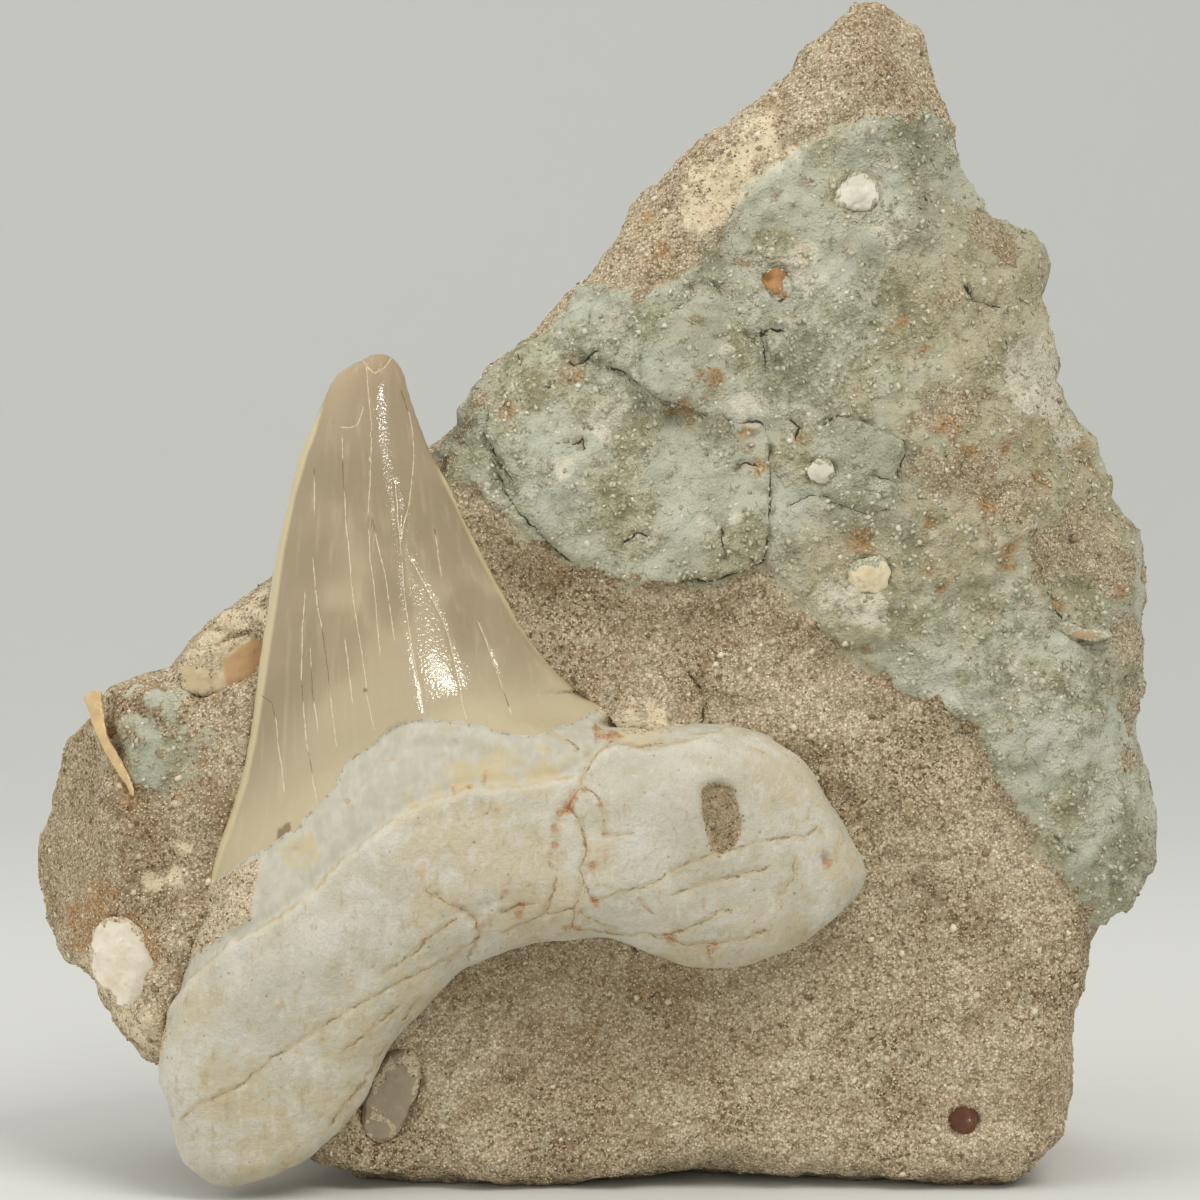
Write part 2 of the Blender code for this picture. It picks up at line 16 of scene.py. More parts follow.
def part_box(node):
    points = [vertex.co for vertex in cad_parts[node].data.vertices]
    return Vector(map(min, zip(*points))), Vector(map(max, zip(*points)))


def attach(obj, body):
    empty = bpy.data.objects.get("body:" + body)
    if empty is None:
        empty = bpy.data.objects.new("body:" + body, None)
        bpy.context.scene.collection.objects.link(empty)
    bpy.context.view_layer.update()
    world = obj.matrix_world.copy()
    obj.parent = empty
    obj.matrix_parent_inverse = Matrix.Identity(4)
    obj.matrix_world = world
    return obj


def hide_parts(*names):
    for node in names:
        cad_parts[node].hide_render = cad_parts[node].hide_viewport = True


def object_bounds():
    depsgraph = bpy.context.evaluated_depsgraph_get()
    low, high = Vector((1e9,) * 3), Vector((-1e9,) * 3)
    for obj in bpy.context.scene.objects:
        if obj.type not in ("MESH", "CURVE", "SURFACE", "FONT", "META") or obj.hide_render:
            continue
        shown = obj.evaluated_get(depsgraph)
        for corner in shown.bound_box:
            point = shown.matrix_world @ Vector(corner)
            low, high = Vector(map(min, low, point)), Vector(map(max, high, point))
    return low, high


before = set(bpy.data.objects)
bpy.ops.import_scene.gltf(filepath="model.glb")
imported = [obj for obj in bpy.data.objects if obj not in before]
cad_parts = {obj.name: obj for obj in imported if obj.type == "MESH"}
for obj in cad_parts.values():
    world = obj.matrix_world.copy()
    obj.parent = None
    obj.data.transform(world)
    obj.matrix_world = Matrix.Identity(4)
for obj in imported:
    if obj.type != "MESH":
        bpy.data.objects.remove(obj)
cad_low, cad_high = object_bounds()

MM = 0.001

# The photo's frame
PHOTO_PIXELS = 1200
PHOTO_WIDTH = 108.0  # what the photo's width spans at the stone's face
PIXEL = PHOTO_WIDTH / PHOTO_PIXELS
CAMERA_DISTANCE = 420.0
CAMERA_RISE = 4.5  # degrees above level
SENSOR = 36.0
TOOTH_LEFT = -39.7  # the tooth's left end, from the middle of the photo
TOOTH_FRONT = -9.8  # the tooth's front, from the foot of the stone's face
FRAME_HEIGHT = 54.0  # the height of the photo's middle

# How finely the surfaces are divided
STONE_VOXEL = 0.82
TOOTH_VOXEL = 0.38
PEBBLE_VOXEL = 0.14
ROUNDING_CUTS = 4
PILLOW = 0.75  # how round each divided triangle is made
CROWN_BASE_PASSES = 160
CHUNK_VOXEL = 0.2

# Fragments: how much narrower a flat one is at its back, and how the stone's face is felt for
# around a round one
CHUNK_TAPER = 0.92
PEBBLE_FEELERS = 16
PEBBLE_MARGIN = 0.6  # how far beside the pebble
FEELER_START = 5.0  # how far in front of it
PEBBLE_PROUD = 0.1

# How far the stone's face leans back, and how much more above a height
FACE_LEAN = 0.03
UPPER_LEAN = 0.11
LEAN_CHANGE = 62.0

# The crown's form: its edges are drawn out to the solid's, and its middle is made fuller
CROWN_FEET = {-1: (207, 893), 1: (612, 690)}  # where its left and right edges start, in the photo
CROWN_MIDDLE = 375  # what parts the left edge from the right one, across the photo
CROWN_BELLY = 668  # where the crown is fullest, down the photo
CROWN_BELLY_REACH = 95
CROWN_FULLNESS = 0.7
EDGE_ROW = 0.5  # the height of the rows in which the edges are measured
MOST_DRAWN = 2.0  # how far an edge is moved at most
DRAWN_REACH = (0.3, 4.5)  # from the edge inwards, where the move fades out

# Heights of the small forms of the tooth and the stone
ENAMEL_STEP = 0.14
BAND_LIP_HEIGHT = 0.28
BAND_GROOVE = 0.3
ROOT_CRACK_DEPTH = 0.1
SPLIT_DEPTH = 0.05
PIT_DEPTH = 0.8
CRUST_HEIGHT = 0.3
PORE_DEPTH = 0.12
MARL_LIP = 0.3
MARL_GROOVE = 0.35
MARL_CRACK_DEPTH = 0.5
TURNED_AWAY = 3.0  # what keeps a line or a patch of the front off the faces behind
TOOTH_REACH = 2.4  # how near the tooth the stone's face is drawn to it

# Noise on the surfaces: (height, size of the lumps, seed)
ROOT_SURFACE = [(0.16, 2.6, 21), (0.07, 0.9, 22), (0.35, 9.0, 23)]
CROWN_SURFACE = [(0.05, 5.0, 24)]
STONE_SURFACE = [(0.6, 4.2, 32), (0.4, 1.8, 33)]
TOOTH_PATTERNS = {
    "middling": [(1.0, 5.0, 26), (0.5, 2.5, 27)],
    "ragged": [(0.5, 1.6, 29), (0.3, 0.8, 30)],
    "torn": [(0.5, 1.1, 31), (0.25, 0.6, 32)],
}
STONE_PATTERNS = {
    "broad": [(1.0, 9.0, 38), (0.5, 4.5, 39)],
    "middling": [(1.0, 5.5, 40), (0.5, 2.7, 41)],
    "ragged": [(0.5, 2.4, 42), (0.35, 1.2, 43)],
    "torn": [(0.5, 1.2, 44), (0.25, 0.7, 45)],
}
CHUNK_SURFACE = [(0.16, 1.8, 41), (0.08, 0.6, 42)]
CHUNK_BORDER = [(0.9, 1.5, 45), (0.4, 0.6, 46)]
CHUNK_STREWN = [(0.6, 2.4, 43), (0.5, 0.9, 44)]

# The studio, in metres
SWEEP_FRONT = -1.6
SWEEP_BEND = 0.25
SWEEP_RADIUS = 0.35
SWEEP_HEIGHT = 1.8
SWEEP_HALF_WIDTH = 1.8
BEND_STEPS = 12
LAMP_AIM = (0.0, 0.0, 0.05)
# name, place, width and height, power, colour, whether only mirror images show it
LAMPS = [
    ("window", (0.34, -0.46, 0.72), (0.4, 0.4), 3.75, (1.0, 0.985, 0.96), False),
    ("overhead", (-0.05, -0.05, 0.9), (0.8, 0.8), 1.8, (1.0, 0.99, 0.975), False),
    ("side_fill", (-0.8, -0.5, 0.4), (0.7, 0.7), 4.1, (0.97, 0.985, 1.0), False),
    ("glint", (0.36, -0.66, 0.15), (0.1, 0.22), 2.2, (1.0, 0.99, 0.97), True),
    ("back_fill", (-0.5, 0.4, 0.7), (0.6, 0.6), 0.8, (1.0, 1.0, 1.0), False),
]
ROOM_COLOUR = (0.92, 0.94, 0.96, 1.0)
ROOM_LIGHT = 0.48

# The edge of the green marl
MARL_REGION = [
    (420, 440), (435, 452), (462, 478), (490, 505), (520, 528), (545, 548), (562, 557), (600, 577),
    (650, 587), (700, 587), (742, 577), (762, 563), (774, 572), (792, 588), (806, 612), (830, 640),
    (868, 664), (900, 690), (940, 708), (968, 728), (984, 756), (1000, 790), (1022, 822),
    (1050, 852), (1074, 890), (1094, 926), (1230, 940), (1230, 60), (945, 106), (905, 112),
    (864, 112), (842, 130), (800, 146), (772, 172), (752, 186), (722, 210), (700, 236),
    (690, 264), (668, 284), (640, 290), (606, 284), (566, 276), (500, 300), (440, 350),
]
# Patches in the marl and the sand: (x, y, radius)
RUST_AND_SHADOW_SPOTS = [
    (778, 281, 9), (716, 380, 12), (745, 437, 10), (890, 330, 9), (861, 536, 14), (868, 548, 10),
    (1010, 555, 16), (682, 411, 15), (574, 370, 14), (506, 410, 11), (930, 570, 8), (944, 590, 8),
    (950, 425, 14), (966, 452, 14), (1078, 452, 13), (1098, 470, 10), (1002, 448, 9),
    (1040, 480, 10), (985, 505, 12), (760, 466, 12), (798, 440, 10), (1094, 420, 8), (700, 372, 8),
    (925, 350, 7), (902, 322, 6), (84, 925, 20), (98, 908, 16), (150, 956, 14), (118, 935, 9),
    (644, 990, 8), (640, 215, 12), (660, 250, 12), (1120, 590, 10), (1058, 606, 9), (930, 520, 9),
    # The next four spots are painted shadow beside the amber blade, not rust
    (106, 744, 6), (114, 764, 7), (124, 784, 8),
    (130, 800, 8), (80, 945, 12), (112, 900, 12), (146, 940, 12), (158, 962, 9), (140, 925, 8),
    (78, 915, 18), (96, 892, 14), (136, 920, 10), (158, 950, 12), (640, 733, 5), (662, 731, 6),
    (684, 729, 5), (214, 694, 6),
]
PALE_SPOTS = [
    (805, 266, 22), (856, 190, 11), (872, 184, 10), (727, 350, 8), (746, 404, 20), (634, 461, 7),
    (824, 600, 17), (852, 604, 20), (874, 612, 22), (935, 538, 8), (1012, 664, 9), (1076, 682, 8),
    (880, 232, 13), (604, 420, 16), (900, 208, 9), (734, 520, 9), (800, 250, 14), (872, 566, 16),
    (1008, 585, 9), (560, 470, 12), (620, 410, 10), (700, 520, 7), (200, 632, 22), (226, 616, 20),
    (100, 985, 16), (120, 1015, 14), (136, 1035, 14), (150, 880, 12), (84, 965, 12), (178, 880, 12),
    (185, 850, 10),
    (252, 600, 16), (266, 588, 12), (190, 652, 14), (630, 712, 14), (655, 716, 14), (680, 722, 10),
    (610, 706, 8), (762, 150, 30), (720, 190, 26), (738, 168, 22),
    (700, 215, 18), (1040, 372, 30), (1052, 405, 24), (1030, 395, 20), (1066, 440, 14),
    (1046, 350, 18), (955, 150, 8),
]
SAND_PATCHES = [
    (660, 232, 42), (700, 222, 34), (628, 262, 26), (1084, 540, 34), (1050, 552, 26),
    (1110, 570, 24), (1130, 640, 18), (1134, 700, 14), (1128, 760, 12), (988, 232, 18),
    (1002, 248, 16), (950, 410, 26), (975, 470, 34), (1010, 500, 28), (936, 470, 20),
    (950, 300, 12), (612, 262, 20), (476, 398, 12), (456, 424, 14),
]
MARL_PATCHES = [(154, 736, 40), (152, 764, 30), (160, 712, 28)]
DRY_SPOTS = [(985, 300, 80), (1000, 410, 100), (1060, 520, 70), (965, 520, 60), (850, 590, 60)]
# Darker patches: partly painted shade (under the root, beneath the marl's broken steps, along the sand
# strip's left edge and on the left facet), partly darker stone
SHADE_AND_DARK_SPOTS = [
    (1000, 250, 14), (930, 165, 26), (935, 205, 22), (860, 440, 30), (886, 452, 24), (640, 410, 14),
    (664, 420, 16), (700, 425, 14), (560, 560, 34), (700, 576, 30), (880, 520, 26), (844, 505, 20),
    (912, 235, 18), (1096, 880, 26), (1118, 850, 22), (1030, 815, 14), (470, 460, 22),
    (700, 330, 20), (672, 330, 16), (600, 980, 40), (520, 970, 36), (560, 960, 30), (680, 990, 24),
    (870, 640, 40), (840, 660, 30), (690, 690, 20), (700, 640, 26), (100, 830, 120), (190, 800, 60),
    (600, 1060, 80), (196, 935, 16), (176, 965, 14),
]
# Lumps and hollows of the stone's face: (x, y, radius, height)
FACE_LUMPS = [
    (686, 342, 34, 0.9), (740, 350, 22, 0.4), (862, 448, 36, 0.5), (812, 545, 16, 0.4),
    (545, 430, 50, 0.4), (640, 500, 60, 0.3), (905, 465, 14, -0.6), (682, 412, 16, -0.9),
    (574, 370, 14, -0.5), (506, 410, 12, -0.5), (862, 536, 12, -0.7), (850, 606, 34, 0.4),
    (930, 190, 26, -0.8), (990, 400, 24, -0.6), (1010, 470, 20, -0.5), (1045, 500, 20, 0.4),
    (944, 380, 18, 0.5), (700, 690, 16, -0.8), (715, 700, 12, -0.6), (745, 660, 40, 0.3),
    (170, 945, 15, 1.1), (158, 985, 14, 1.1), (152, 1020, 13, 0.9), (186, 915, 13, 0.9),
    (620, 640, 40, 0.3), (1010, 556, 12, -0.5), (1090, 460, 12, -0.6), (1060, 760, 30, 0.5),
    (1096, 820, 24, 0.5), (980, 680, 30, 0.3), (1030, 690, 12, -0.4), (880, 240, 20, 0.5),
    (800, 200, 30, 0.4), (770, 300, 24, 0.4),
]
# Broken edges in the marl: (height of the step, reach, line). A step is raised on the right of
# its line, as seen when following it, and on the left where its height is negative.
STEPS = [
    (-0.9, 4.0, [(606, 364), (624, 372), (635, 381), (645, 389), (654, 398), (664, 403), (693, 412)]),
    (0.5, 5.0, [(735, 422), (768, 426), (770, 452), (770, 505), (768, 548), (748, 570), (688, 579)]),
    (-0.45, 4.0, [(490, 416), (483, 431), (505, 470), (538, 530), (569, 560)]),
    (0.5, 3.0, [(642, 366), (642, 346), (652, 328), (664, 316), (682, 309)]),
    (0.4, 3.0, [(818, 428), (838, 416), (866, 424), (893, 434), (905, 440), (907, 452), (902, 482)]),
    (0.4, 3.0, [(840, 130), (880, 150), (912, 180), (930, 230)]),
    (-0.5, 3.0, [(905, 300), (925, 360), (935, 420), (930, 500)]),
    (0.5, 3.0, [(1050, 600), (1075, 632), (1112, 636)]),
]
# Cracks in the marl
MARL_CRACKS = [
    [(490, 416), (483, 431), (490, 444), (497, 455), (505, 470), (515, 484)],
    [(497, 472), (503, 488), (512, 503), (524, 518), (538, 530), (546, 542), (556, 552), (569, 560)],
    [(724, 418), (740, 424), (760, 420), (768, 428), (770, 452), (770, 480), (770, 505), (769, 530),
     (768, 548), (762, 561), (748, 570), (735, 576), (719, 580), (703, 582), (688, 579)],
    [(610, 366), (624, 372), (635, 381), (645, 389), (654, 398), (664, 403), (678, 405), (693, 412)],
    [(642, 358), (644, 344), (650, 332), (662, 320), (680, 310)],
    [(761, 334), (763, 346), (767, 356), (767, 367)], [(761, 334), (772, 328), (781, 331)],
    [(745, 332), (752, 341)], [(715, 338), (728, 334)],
    [(818, 428), (826, 420), (838, 416), (850, 420), (866, 424), (880, 430), (893, 434)],
    [(893, 434), (905, 440), (907, 452), (900, 470), (902, 482)], [(874, 477), (888, 478), (898, 483)],
    [(716, 522), (722, 530), (722, 545), (726, 560)], [(814, 495), (800, 500), (790, 508)],
    [(824, 496), (846, 508), (866, 514), (885, 510)], [(624, 544), (634, 534), (648, 536)],
    [(575, 444), (582, 438), (584, 448)], [(546, 390), (552, 382)], [(516, 352), (520, 364)],
    [(715, 283), (722, 293)], [(966, 285), (978, 300), (995, 306)], [(958, 735), (972, 738)],
    [(1053, 834), (1064, 846), (1078, 852)], [(1056, 612), (1062, 622), (1070, 630)],
    [(735, 470), (745, 462), (756, 466)], [(560, 356), (572, 362), (584, 358), (596, 352)],
    [(796, 436), (800, 426), (792, 420)], [(690, 672), (704, 690), (712, 700), (706, 712)],
]

# The tooth's lines
CROWN_EDGES = [
    [(207, 890), (217, 856), (229, 823), (242, 782), (252, 734), (261, 675), (268, 627), (279, 549),
     (290, 494), (302, 453), (316, 420), (333, 385), (342, 372)],
    [(412, 378), (417, 395), (424, 418), (431, 442), (444, 472), (461, 505), (479, 546), (498, 583),
     (520, 623), (542, 653), (564, 675), (586, 690), (612, 701)],
]
ENAMEL_EDGE = [
    (150, 905), (207, 891), (222, 876), (239, 864), (262, 850), (279, 838), (298, 827), (308, 815),
    (316, 804), (324, 797), (331, 790), (339, 775), (346, 762), (358, 752), (372, 745), (380, 737),
    (387, 731), (398, 724), (409, 721), (428, 719), (446, 721), (462, 722), (475, 725), (487, 727),
    (498, 731), (509, 732), (520, 735), (532, 735), (542, 733), (552, 729), (562, 724), (575, 721),
    (588, 715), (600, 708), (612, 700), (640, 676), (700, 640),
]
BAND_EDGE = [
    (120, 1020), (172, 1000), (193, 977), (212, 958), (232, 941), (255, 930), (277, 917), (292, 906),
    (305, 896), (322, 879), (340, 860), (358, 846), (376, 832), (393, 819), (411, 808), (430, 800),
    (449, 794), (466, 788), (483, 786), (502, 786), (520, 784), (545, 781), (568, 776), (588, 762),
    (604, 748), (626, 744), (650, 750), (672, 744), (700, 734), (740, 722), (800, 716),
]
ENAMEL_CRACKS = [
    [(366, 364), (369, 400), (372, 427), (371, 455), (370, 483), (368, 512), (369, 535), (370, 557),
     (372, 572), (374, 586), (376, 605), (377, 623), (380, 653)],
    [(342, 438), (343, 479), (345, 503), (346, 527), (349, 553), (351, 579), (355, 612), (358, 630),
     (361, 649), (365, 675), (367, 697), (370, 712), (374, 727)],
    [(313, 560), (315, 585), (317, 605), (321, 625), (324, 645), (327, 664), (329, 682), (333, 719),
     (336, 745)],
    [(305, 594), (302, 625), (302, 653), (301, 675), (302, 693), (305, 727), (307, 745), (310, 760),
     (313, 782), (317, 801)],
    [(395, 483), (397, 502), (398, 520), (400, 540), (402, 557), (405, 601), (408, 622), (411, 642),
     (416, 671), (421, 692), (424, 712)],
    [(413, 562), (424, 583), (431, 596), (437, 608), (443, 620), (448, 634), (452, 650), (456, 668),
     (460, 685), (462, 701), (466, 718)],
    [(435, 530), (438, 552), (441, 575)], [(479, 623), (485, 638), (490, 653), (501, 682), (511, 712)],
    [(372, 516), (377, 542), (383, 566), (387, 586), (394, 638)], [(345, 640), (348, 665), (352, 700)],
    [(263, 697), (272, 703), (276, 722), (278, 745), (281, 765), (284, 790)],
    [(342, 427), (351, 428), (358, 424), (363, 409)], [(402, 392), (409, 412), (413, 434), (414, 457),
     (412, 481), (409, 505), (404, 524), (401, 542)], [(314, 470), (314, 490), (314, 512)],
    [(392, 357), (384, 368), (374, 374), (364, 362)], [(310, 650), (312, 690), (318, 730)],
]
ROOT_CRACKS = [
    [(614, 733), (606, 744), (598, 752), (592, 762), (587, 771), (583, 779), (579, 788), (573, 796),
     (568, 806), (574, 811), (579, 817), (582, 828), (584, 838), (586, 846), (586, 856), (583, 863),
     (582, 871), (584, 877), (583, 884), (587, 889), (590, 895), (594, 902)],
    [(587, 789), (593, 792), (599, 798), (602, 808), (603, 818), (605, 833), (618, 835), (630, 834)],
    [(563, 811), (559, 819), (556, 828), (557, 836), (555, 845), (551, 853), (550, 865)],
    [(594, 902), (606, 897), (619, 892), (632, 890), (646, 887), (656, 881), (667, 875), (680, 867),
     (694, 861), (702, 857), (711, 855), (724, 852), (737, 850), (751, 845), (764, 841), (780, 838),
     (796, 835), (804, 838), (815, 828)],
    [(583, 884), (580, 894), (577, 906), (573, 918), (572, 930), (586, 931), (600, 932), (616, 934),
     (633, 936), (643, 934), (654, 935), (669, 933), (684, 930), (696, 925), (708, 921), (718, 914),
     (729, 910)],
    [(654, 937), (670, 940), (689, 946), (702, 944), (716, 946), (732, 942), (748, 938), (766, 930)],
    [(673, 894), (690, 889), (710, 882), (738, 876), (767, 868)],
    [(504, 933), (519, 926), (534, 921), (543, 917), (552, 915), (563, 911), (574, 908)],
    [(796, 859), (794, 868), (793, 878), (788, 885), (783, 892)],
    [(428, 889), (437, 897), (446, 903), (457, 907), (467, 913), (475, 922), (481, 932), (476, 945),
     (470, 959)],
    [(453, 920), (443, 928), (432, 934), (425, 944), (418, 952), (402, 962), (383, 973)],
    [(478, 938), (458, 956), (435, 967), (420, 974), (404, 981), (388, 988), (372, 998), (356, 1006),
     (340, 1016), (321, 1028), (302, 1040), (286, 1050), (270, 1060), (258, 1070), (249, 1077),
     (239, 1085), (228, 1091), (210, 1100), (193, 1109), (184, 1117)],
    [(397, 1008), (385, 1017), (372, 1030), (358, 1040), (344, 1051)],
    [(386, 1043), (374, 1065), (358, 1090), (345, 1107), (330, 1125)],
    [(576, 907), (590, 920), (604, 926), (618, 930)], [(556, 880), (550, 900), (546, 915)],
    [(596, 726), (614, 738), (634, 748)], [(640, 745), (660, 741), (684, 738)],
    [(640, 900), (646, 908), (652, 912)], [(708, 948), (712, 966)], [(420, 1000), (404, 1020)],
    [(545, 728), (568, 742), (590, 754)], [(506, 912), (520, 905), (536, 903)],
]
# Stains of the root: (x, y, radius)
ROOT_RUST = [
    (566, 805, 9), (572, 797, 7), (584, 790, 5), (612, 733, 9), (598, 730, 7), (640, 726, 9),
    (664, 724, 10), (554, 832, 6), (556, 845, 6), (606, 835, 5), (590, 866, 6), (576, 930, 6),
    (594, 900, 8), (826, 862, 6), (570, 930, 7), (533, 885, 5), (506, 893, 5), (520, 912, 9),
    (600, 806, 3), (668, 938, 6), (716, 946, 6), (436, 893, 5), (455, 905, 6), (480, 930, 7),
    (452, 790, 5), (483, 783, 6), (470, 786, 4), (556, 870, 4),
]
ROOT_WARM = [
    (800, 770, 60), (840, 860, 30), (760, 940, 60), (690, 960, 40), (520, 870, 60), (560, 900, 40),
    (480, 850, 60), (440, 830, 50), (500, 775, 28), (540, 775, 26), (462, 780, 24), (430, 905, 36),
    (520, 910, 40), (350, 1030, 50), (240, 1090, 50), (340, 1110, 40), (300, 850, 20),
    (600, 860, 30), (640, 730, 24), (420, 985, 30), (280, 1150, 50), (200, 1010, 30),
]
ROOT_GREY = [
    (420, 760, 50), (360, 790, 36), (470, 750, 40), (330, 830, 34), (280, 880, 30), (640, 770, 36),
    (660, 790, 26), (690, 820, 30), (300, 1000, 60), (250, 1040, 50), (620, 910, 40), (540, 745, 30),
    (760, 800, 50), (740, 900, 60), (230, 960, 26),
]
ENAMEL_DARK = [(281, 834, 6), (286, 828, 5), (278, 842, 4), (365, 690, 3), (300, 826, 3)]
ENAMEL_GREY = [
    (330, 640, 44), (320, 560, 36), (420, 520, 44), (380, 480, 40), (280, 720, 26), (480, 620, 36),
    (520, 670, 30), (440, 560, 30), (340, 480, 26), (390, 600, 30), (296, 690, 24),
]
SAND_PIT = [
    (700, 800), (701, 788), (710, 781), (722, 780), (734, 785), (739, 800), (744, 820), (742, 838),
    (735, 850), (722, 857), (712, 852), (707, 838), (702, 820),
]
SAND_CRUST = [
    (606, 702), (622, 696), (648, 700), (668, 708), (692, 718), (690, 726), (668, 733), (640, 737),
    (620, 735), (604, 724), (598, 712),
]
SAND_STRIP = [
    (205, 888), (222, 876), (240, 866), (262, 858), (258, 878), (254, 900), (252, 918), (240, 926),
    (226, 932), (205, 950), (190, 962), (178, 976), (173, 998), (170, 1022), (168, 1045),
    (158, 1064), (135, 1052), (138, 990), (158, 940), (184, 900),
]
ROOT_PITS = [
    (826, 859, 6, 0.7), (488, 904, 4, 0.5), (501, 898, 3, 0.4), (502, 912, 3, 0.4), (566, 806, 5, 0.5),
    (590, 873, 4, 0.4), (640, 912, 3, 0.3), (474, 918, 5, 0.4), (462, 910, 4, 0.3), (780, 895, 2, 0.2),
]

# Where the enamel mirrors the window: (x, y, radius)
ENAMEL_SHEEN = [(434, 662, 30), (404, 694, 24), (440, 620, 16), (428, 590, 12), (374, 414, 18)]
RIM_TOPS = (402, 446)  # above these the pale rim is worn off the left and the right edge

# Outlines of the pieces that lie in the stone
CREAM_BONE = [
    (182, 692), (178, 670), (190, 653), (212, 646), (226, 641), (246, 634), (264, 629), (266, 650),
    (260, 682), (244, 696), (224, 692), (204, 697),
]
PEACH_PATCH = [(222, 662), (238, 646), (270, 628), (264, 690), (240, 700), (214, 696), (226, 684)]
WHITE_BONE = [
    (88, 955), (92, 930), (106, 917), (126, 916), (141, 929), (153, 943), (161, 962), (160, 983),
    (155, 1004), (144, 1020), (126, 1016), (105, 996), (93, 977),
]
AMBER_BLADE = [
    (82, 698), (88, 692), (97, 689), (102, 691), (103, 706), (105, 722), (109, 738), (115, 750),
    (122, 762), (129, 774), (134, 786), (136, 798), (131, 797), (125, 784), (117, 770), (107, 754),
    (99, 740), (92, 724), (87, 709),
]
SHELL_SLIVER = [
    (1046, 606), (1056, 611), (1068, 622), (1085, 630), (1110, 630), (1114, 637), (1096, 643),
    (1072, 639), (1056, 628),
]


class PhotoView:
    """The photo's camera: where a point falls in the photo, and what lies behind a pixel."""

    def __init__(self, aim):
        lean = math.radians(CAMERA_RISE)
        self.forward = np.array([0.0, math.cos(lean), -math.sin(lean)])
        self.up = np.array([0.0, math.sin(lean), math.cos(lean)])
        self.right = np.array([1.0, 0.0, 0.0])
        self.eye = np.array(aim) - CAMERA_DISTANCE * self.forward
        self.scale = PHOTO_PIXELS * CAMERA_DISTANCE / PHOTO_WIDTH

    def pixels(self, points):
        away = points - self.eye
        depth = away @ self.forward
        across = PHOTO_PIXELS / 2 + self.scale * (away @ self.right) / depth
        down = PHOTO_PIXELS / 2 - self.scale * (away @ self.up) / depth
        return np.column_stack([across, down])

    def line(self, px, py):
        across = (px - PHOTO_PIXELS / 2) / self.scale
        rise = (PHOTO_PIXELS / 2 - py) / self.scale
        line = self.forward + across * self.right + rise * self.up
        return line / np.linalg.norm(line)

    def hit(self, tree, px, py):
        """The first point of a surface that the line of sight through a pixel meets."""
        found = tree.ray_cast(Vector(self.eye), Vector(self.line(px, py)))[0]
        return None if found is None else np.array(found)

    def at_depth(self, px, py, depth):
        """The point behind a pixel that has a given y."""
        line = self.line(px, py)
        return self.eye + line * (depth - self.eye[1]) / line[1]


tooth_low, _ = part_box("shark_tooth")
middle_x = tooth_low.x / MM - TOOTH_LEFT
stone_face = tooth_low.y / MM - TOOTH_FRONT
view = PhotoView((middle_x, stone_face, FRAME_HEIGHT))


def step(value, low, high):
    """0 below low, 1 above high, and smooth between."""
    share = np.clip((value - low) / (high - low), 0, 1)
    return share * share * (3 - 2 * share)


def ridge(distance, middle, width):
    """1 at a distance from a line, fading over a width to both sides."""
    return np.exp(-(((distance - middle) / width) ** 2))


def points_of(mesh):
    flat = np.empty(len(mesh.vertices) * 3, np.float32)
    mesh.vertices.foreach_get("co", flat)
    return flat.reshape(-1, 3).astype(float) / MM


def directions_of(mesh):
    flat = np.empty(len(mesh.vertices) * 3, np.float32)
    mesh.vertex_normals.foreach_get("vector", flat)
    return flat.reshape(-1, 3).astype(float)


def move_points(mesh, points):
    """Sets the mesh's points, held inside the model's box."""
    inside = np.clip(points, np.array(cad_low) / MM, np.array(cad_high) / MM)
    mesh.vertices.foreach_set("co", (inside * MM).astype(np.float32).ravel())
    mesh.update()


def store(mesh, fields):
    """Stores values on the mesh's points under their names, for a finish or a scatter to read."""
    for name, values in fields.items():
        made = mesh.attributes.new(name, "FLOAT", "POINT")
        made.data.foreach_set("value", np.asarray(values, np.float32))


def tree_of(mesh):
    """A tree, in millimetres, for finding the nearest point of a mesh."""
    return BVHTree.FromPolygons(
        [Vector(point) for point in points_of(mesh)], [face.vertices for face in mesh.polygons]
    )


def nearest(points, tree, reach):
    """How far each point is from a surface, up to a reach, and the surface's nearest point."""
    gap = np.full(len(points), reach)
    place = points.copy()
    for index, point in enumerate(points):
        found, _, _, distance = tree.find_nearest(Vector(point), reach)
        if found is not None:
            gap[index] = distance
            place[index] = found
    return gap, place


def line_fields(places, lines):
    """For each place: how far the nearest line is, and that distance signed by the side."""
    near = np.full(len(places), 1e6)
    side = np.full(len(places), 1e6)
    for line in lines:
        for start, end in zip(line[:-1], line[1:]):
            start, run = np.array(start, float), np.subtract(end, start).astype(float)
            away = places - start
            share = np.clip(away @ run / (run @ run), 0, 1)
            distance = np.hypot(*(away - share[:, None] * run).T)
            turn = run[0] * away[:, 1] - run[1] * away[:, 0]
            closer = distance < near
            near = np.where(closer, distance, near)
            side = np.where(closer, np.where(turn < 0, -distance, distance), side)
    return near * PIXEL, side * PIXEL


def inside_of(places, outline):
    """How far each place lies inside a closed outline, negative outside."""
    found = np.zeros(len(places), bool)
    for start, end in zip(outline, outline[1:] + outline[:1]):
        crosses = (start[1] > places[:, 1]) != (end[1] > places[:, 1])
        rise = np.where(crosses, end[1] - start[1], 1.0)
        at = start[0] + (places[:, 1] - start[1]) / rise * (end[0] - start[0])
        found ^= crosses & (places[:, 0] < at)
    near, _ = line_fields(places, [outline + outline[:1]])
    return np.where(found, near, -near)


def below_line(places, line):
    """How far each place lies above a line in the photo that runs left to right."""
    near, _ = line_fields(places, [line])
    xs, ys = np.array(line, float).T
    level = np.interp(places[:, 0], xs, ys)
    return np.where(places[:, 1] < level, near, -near)


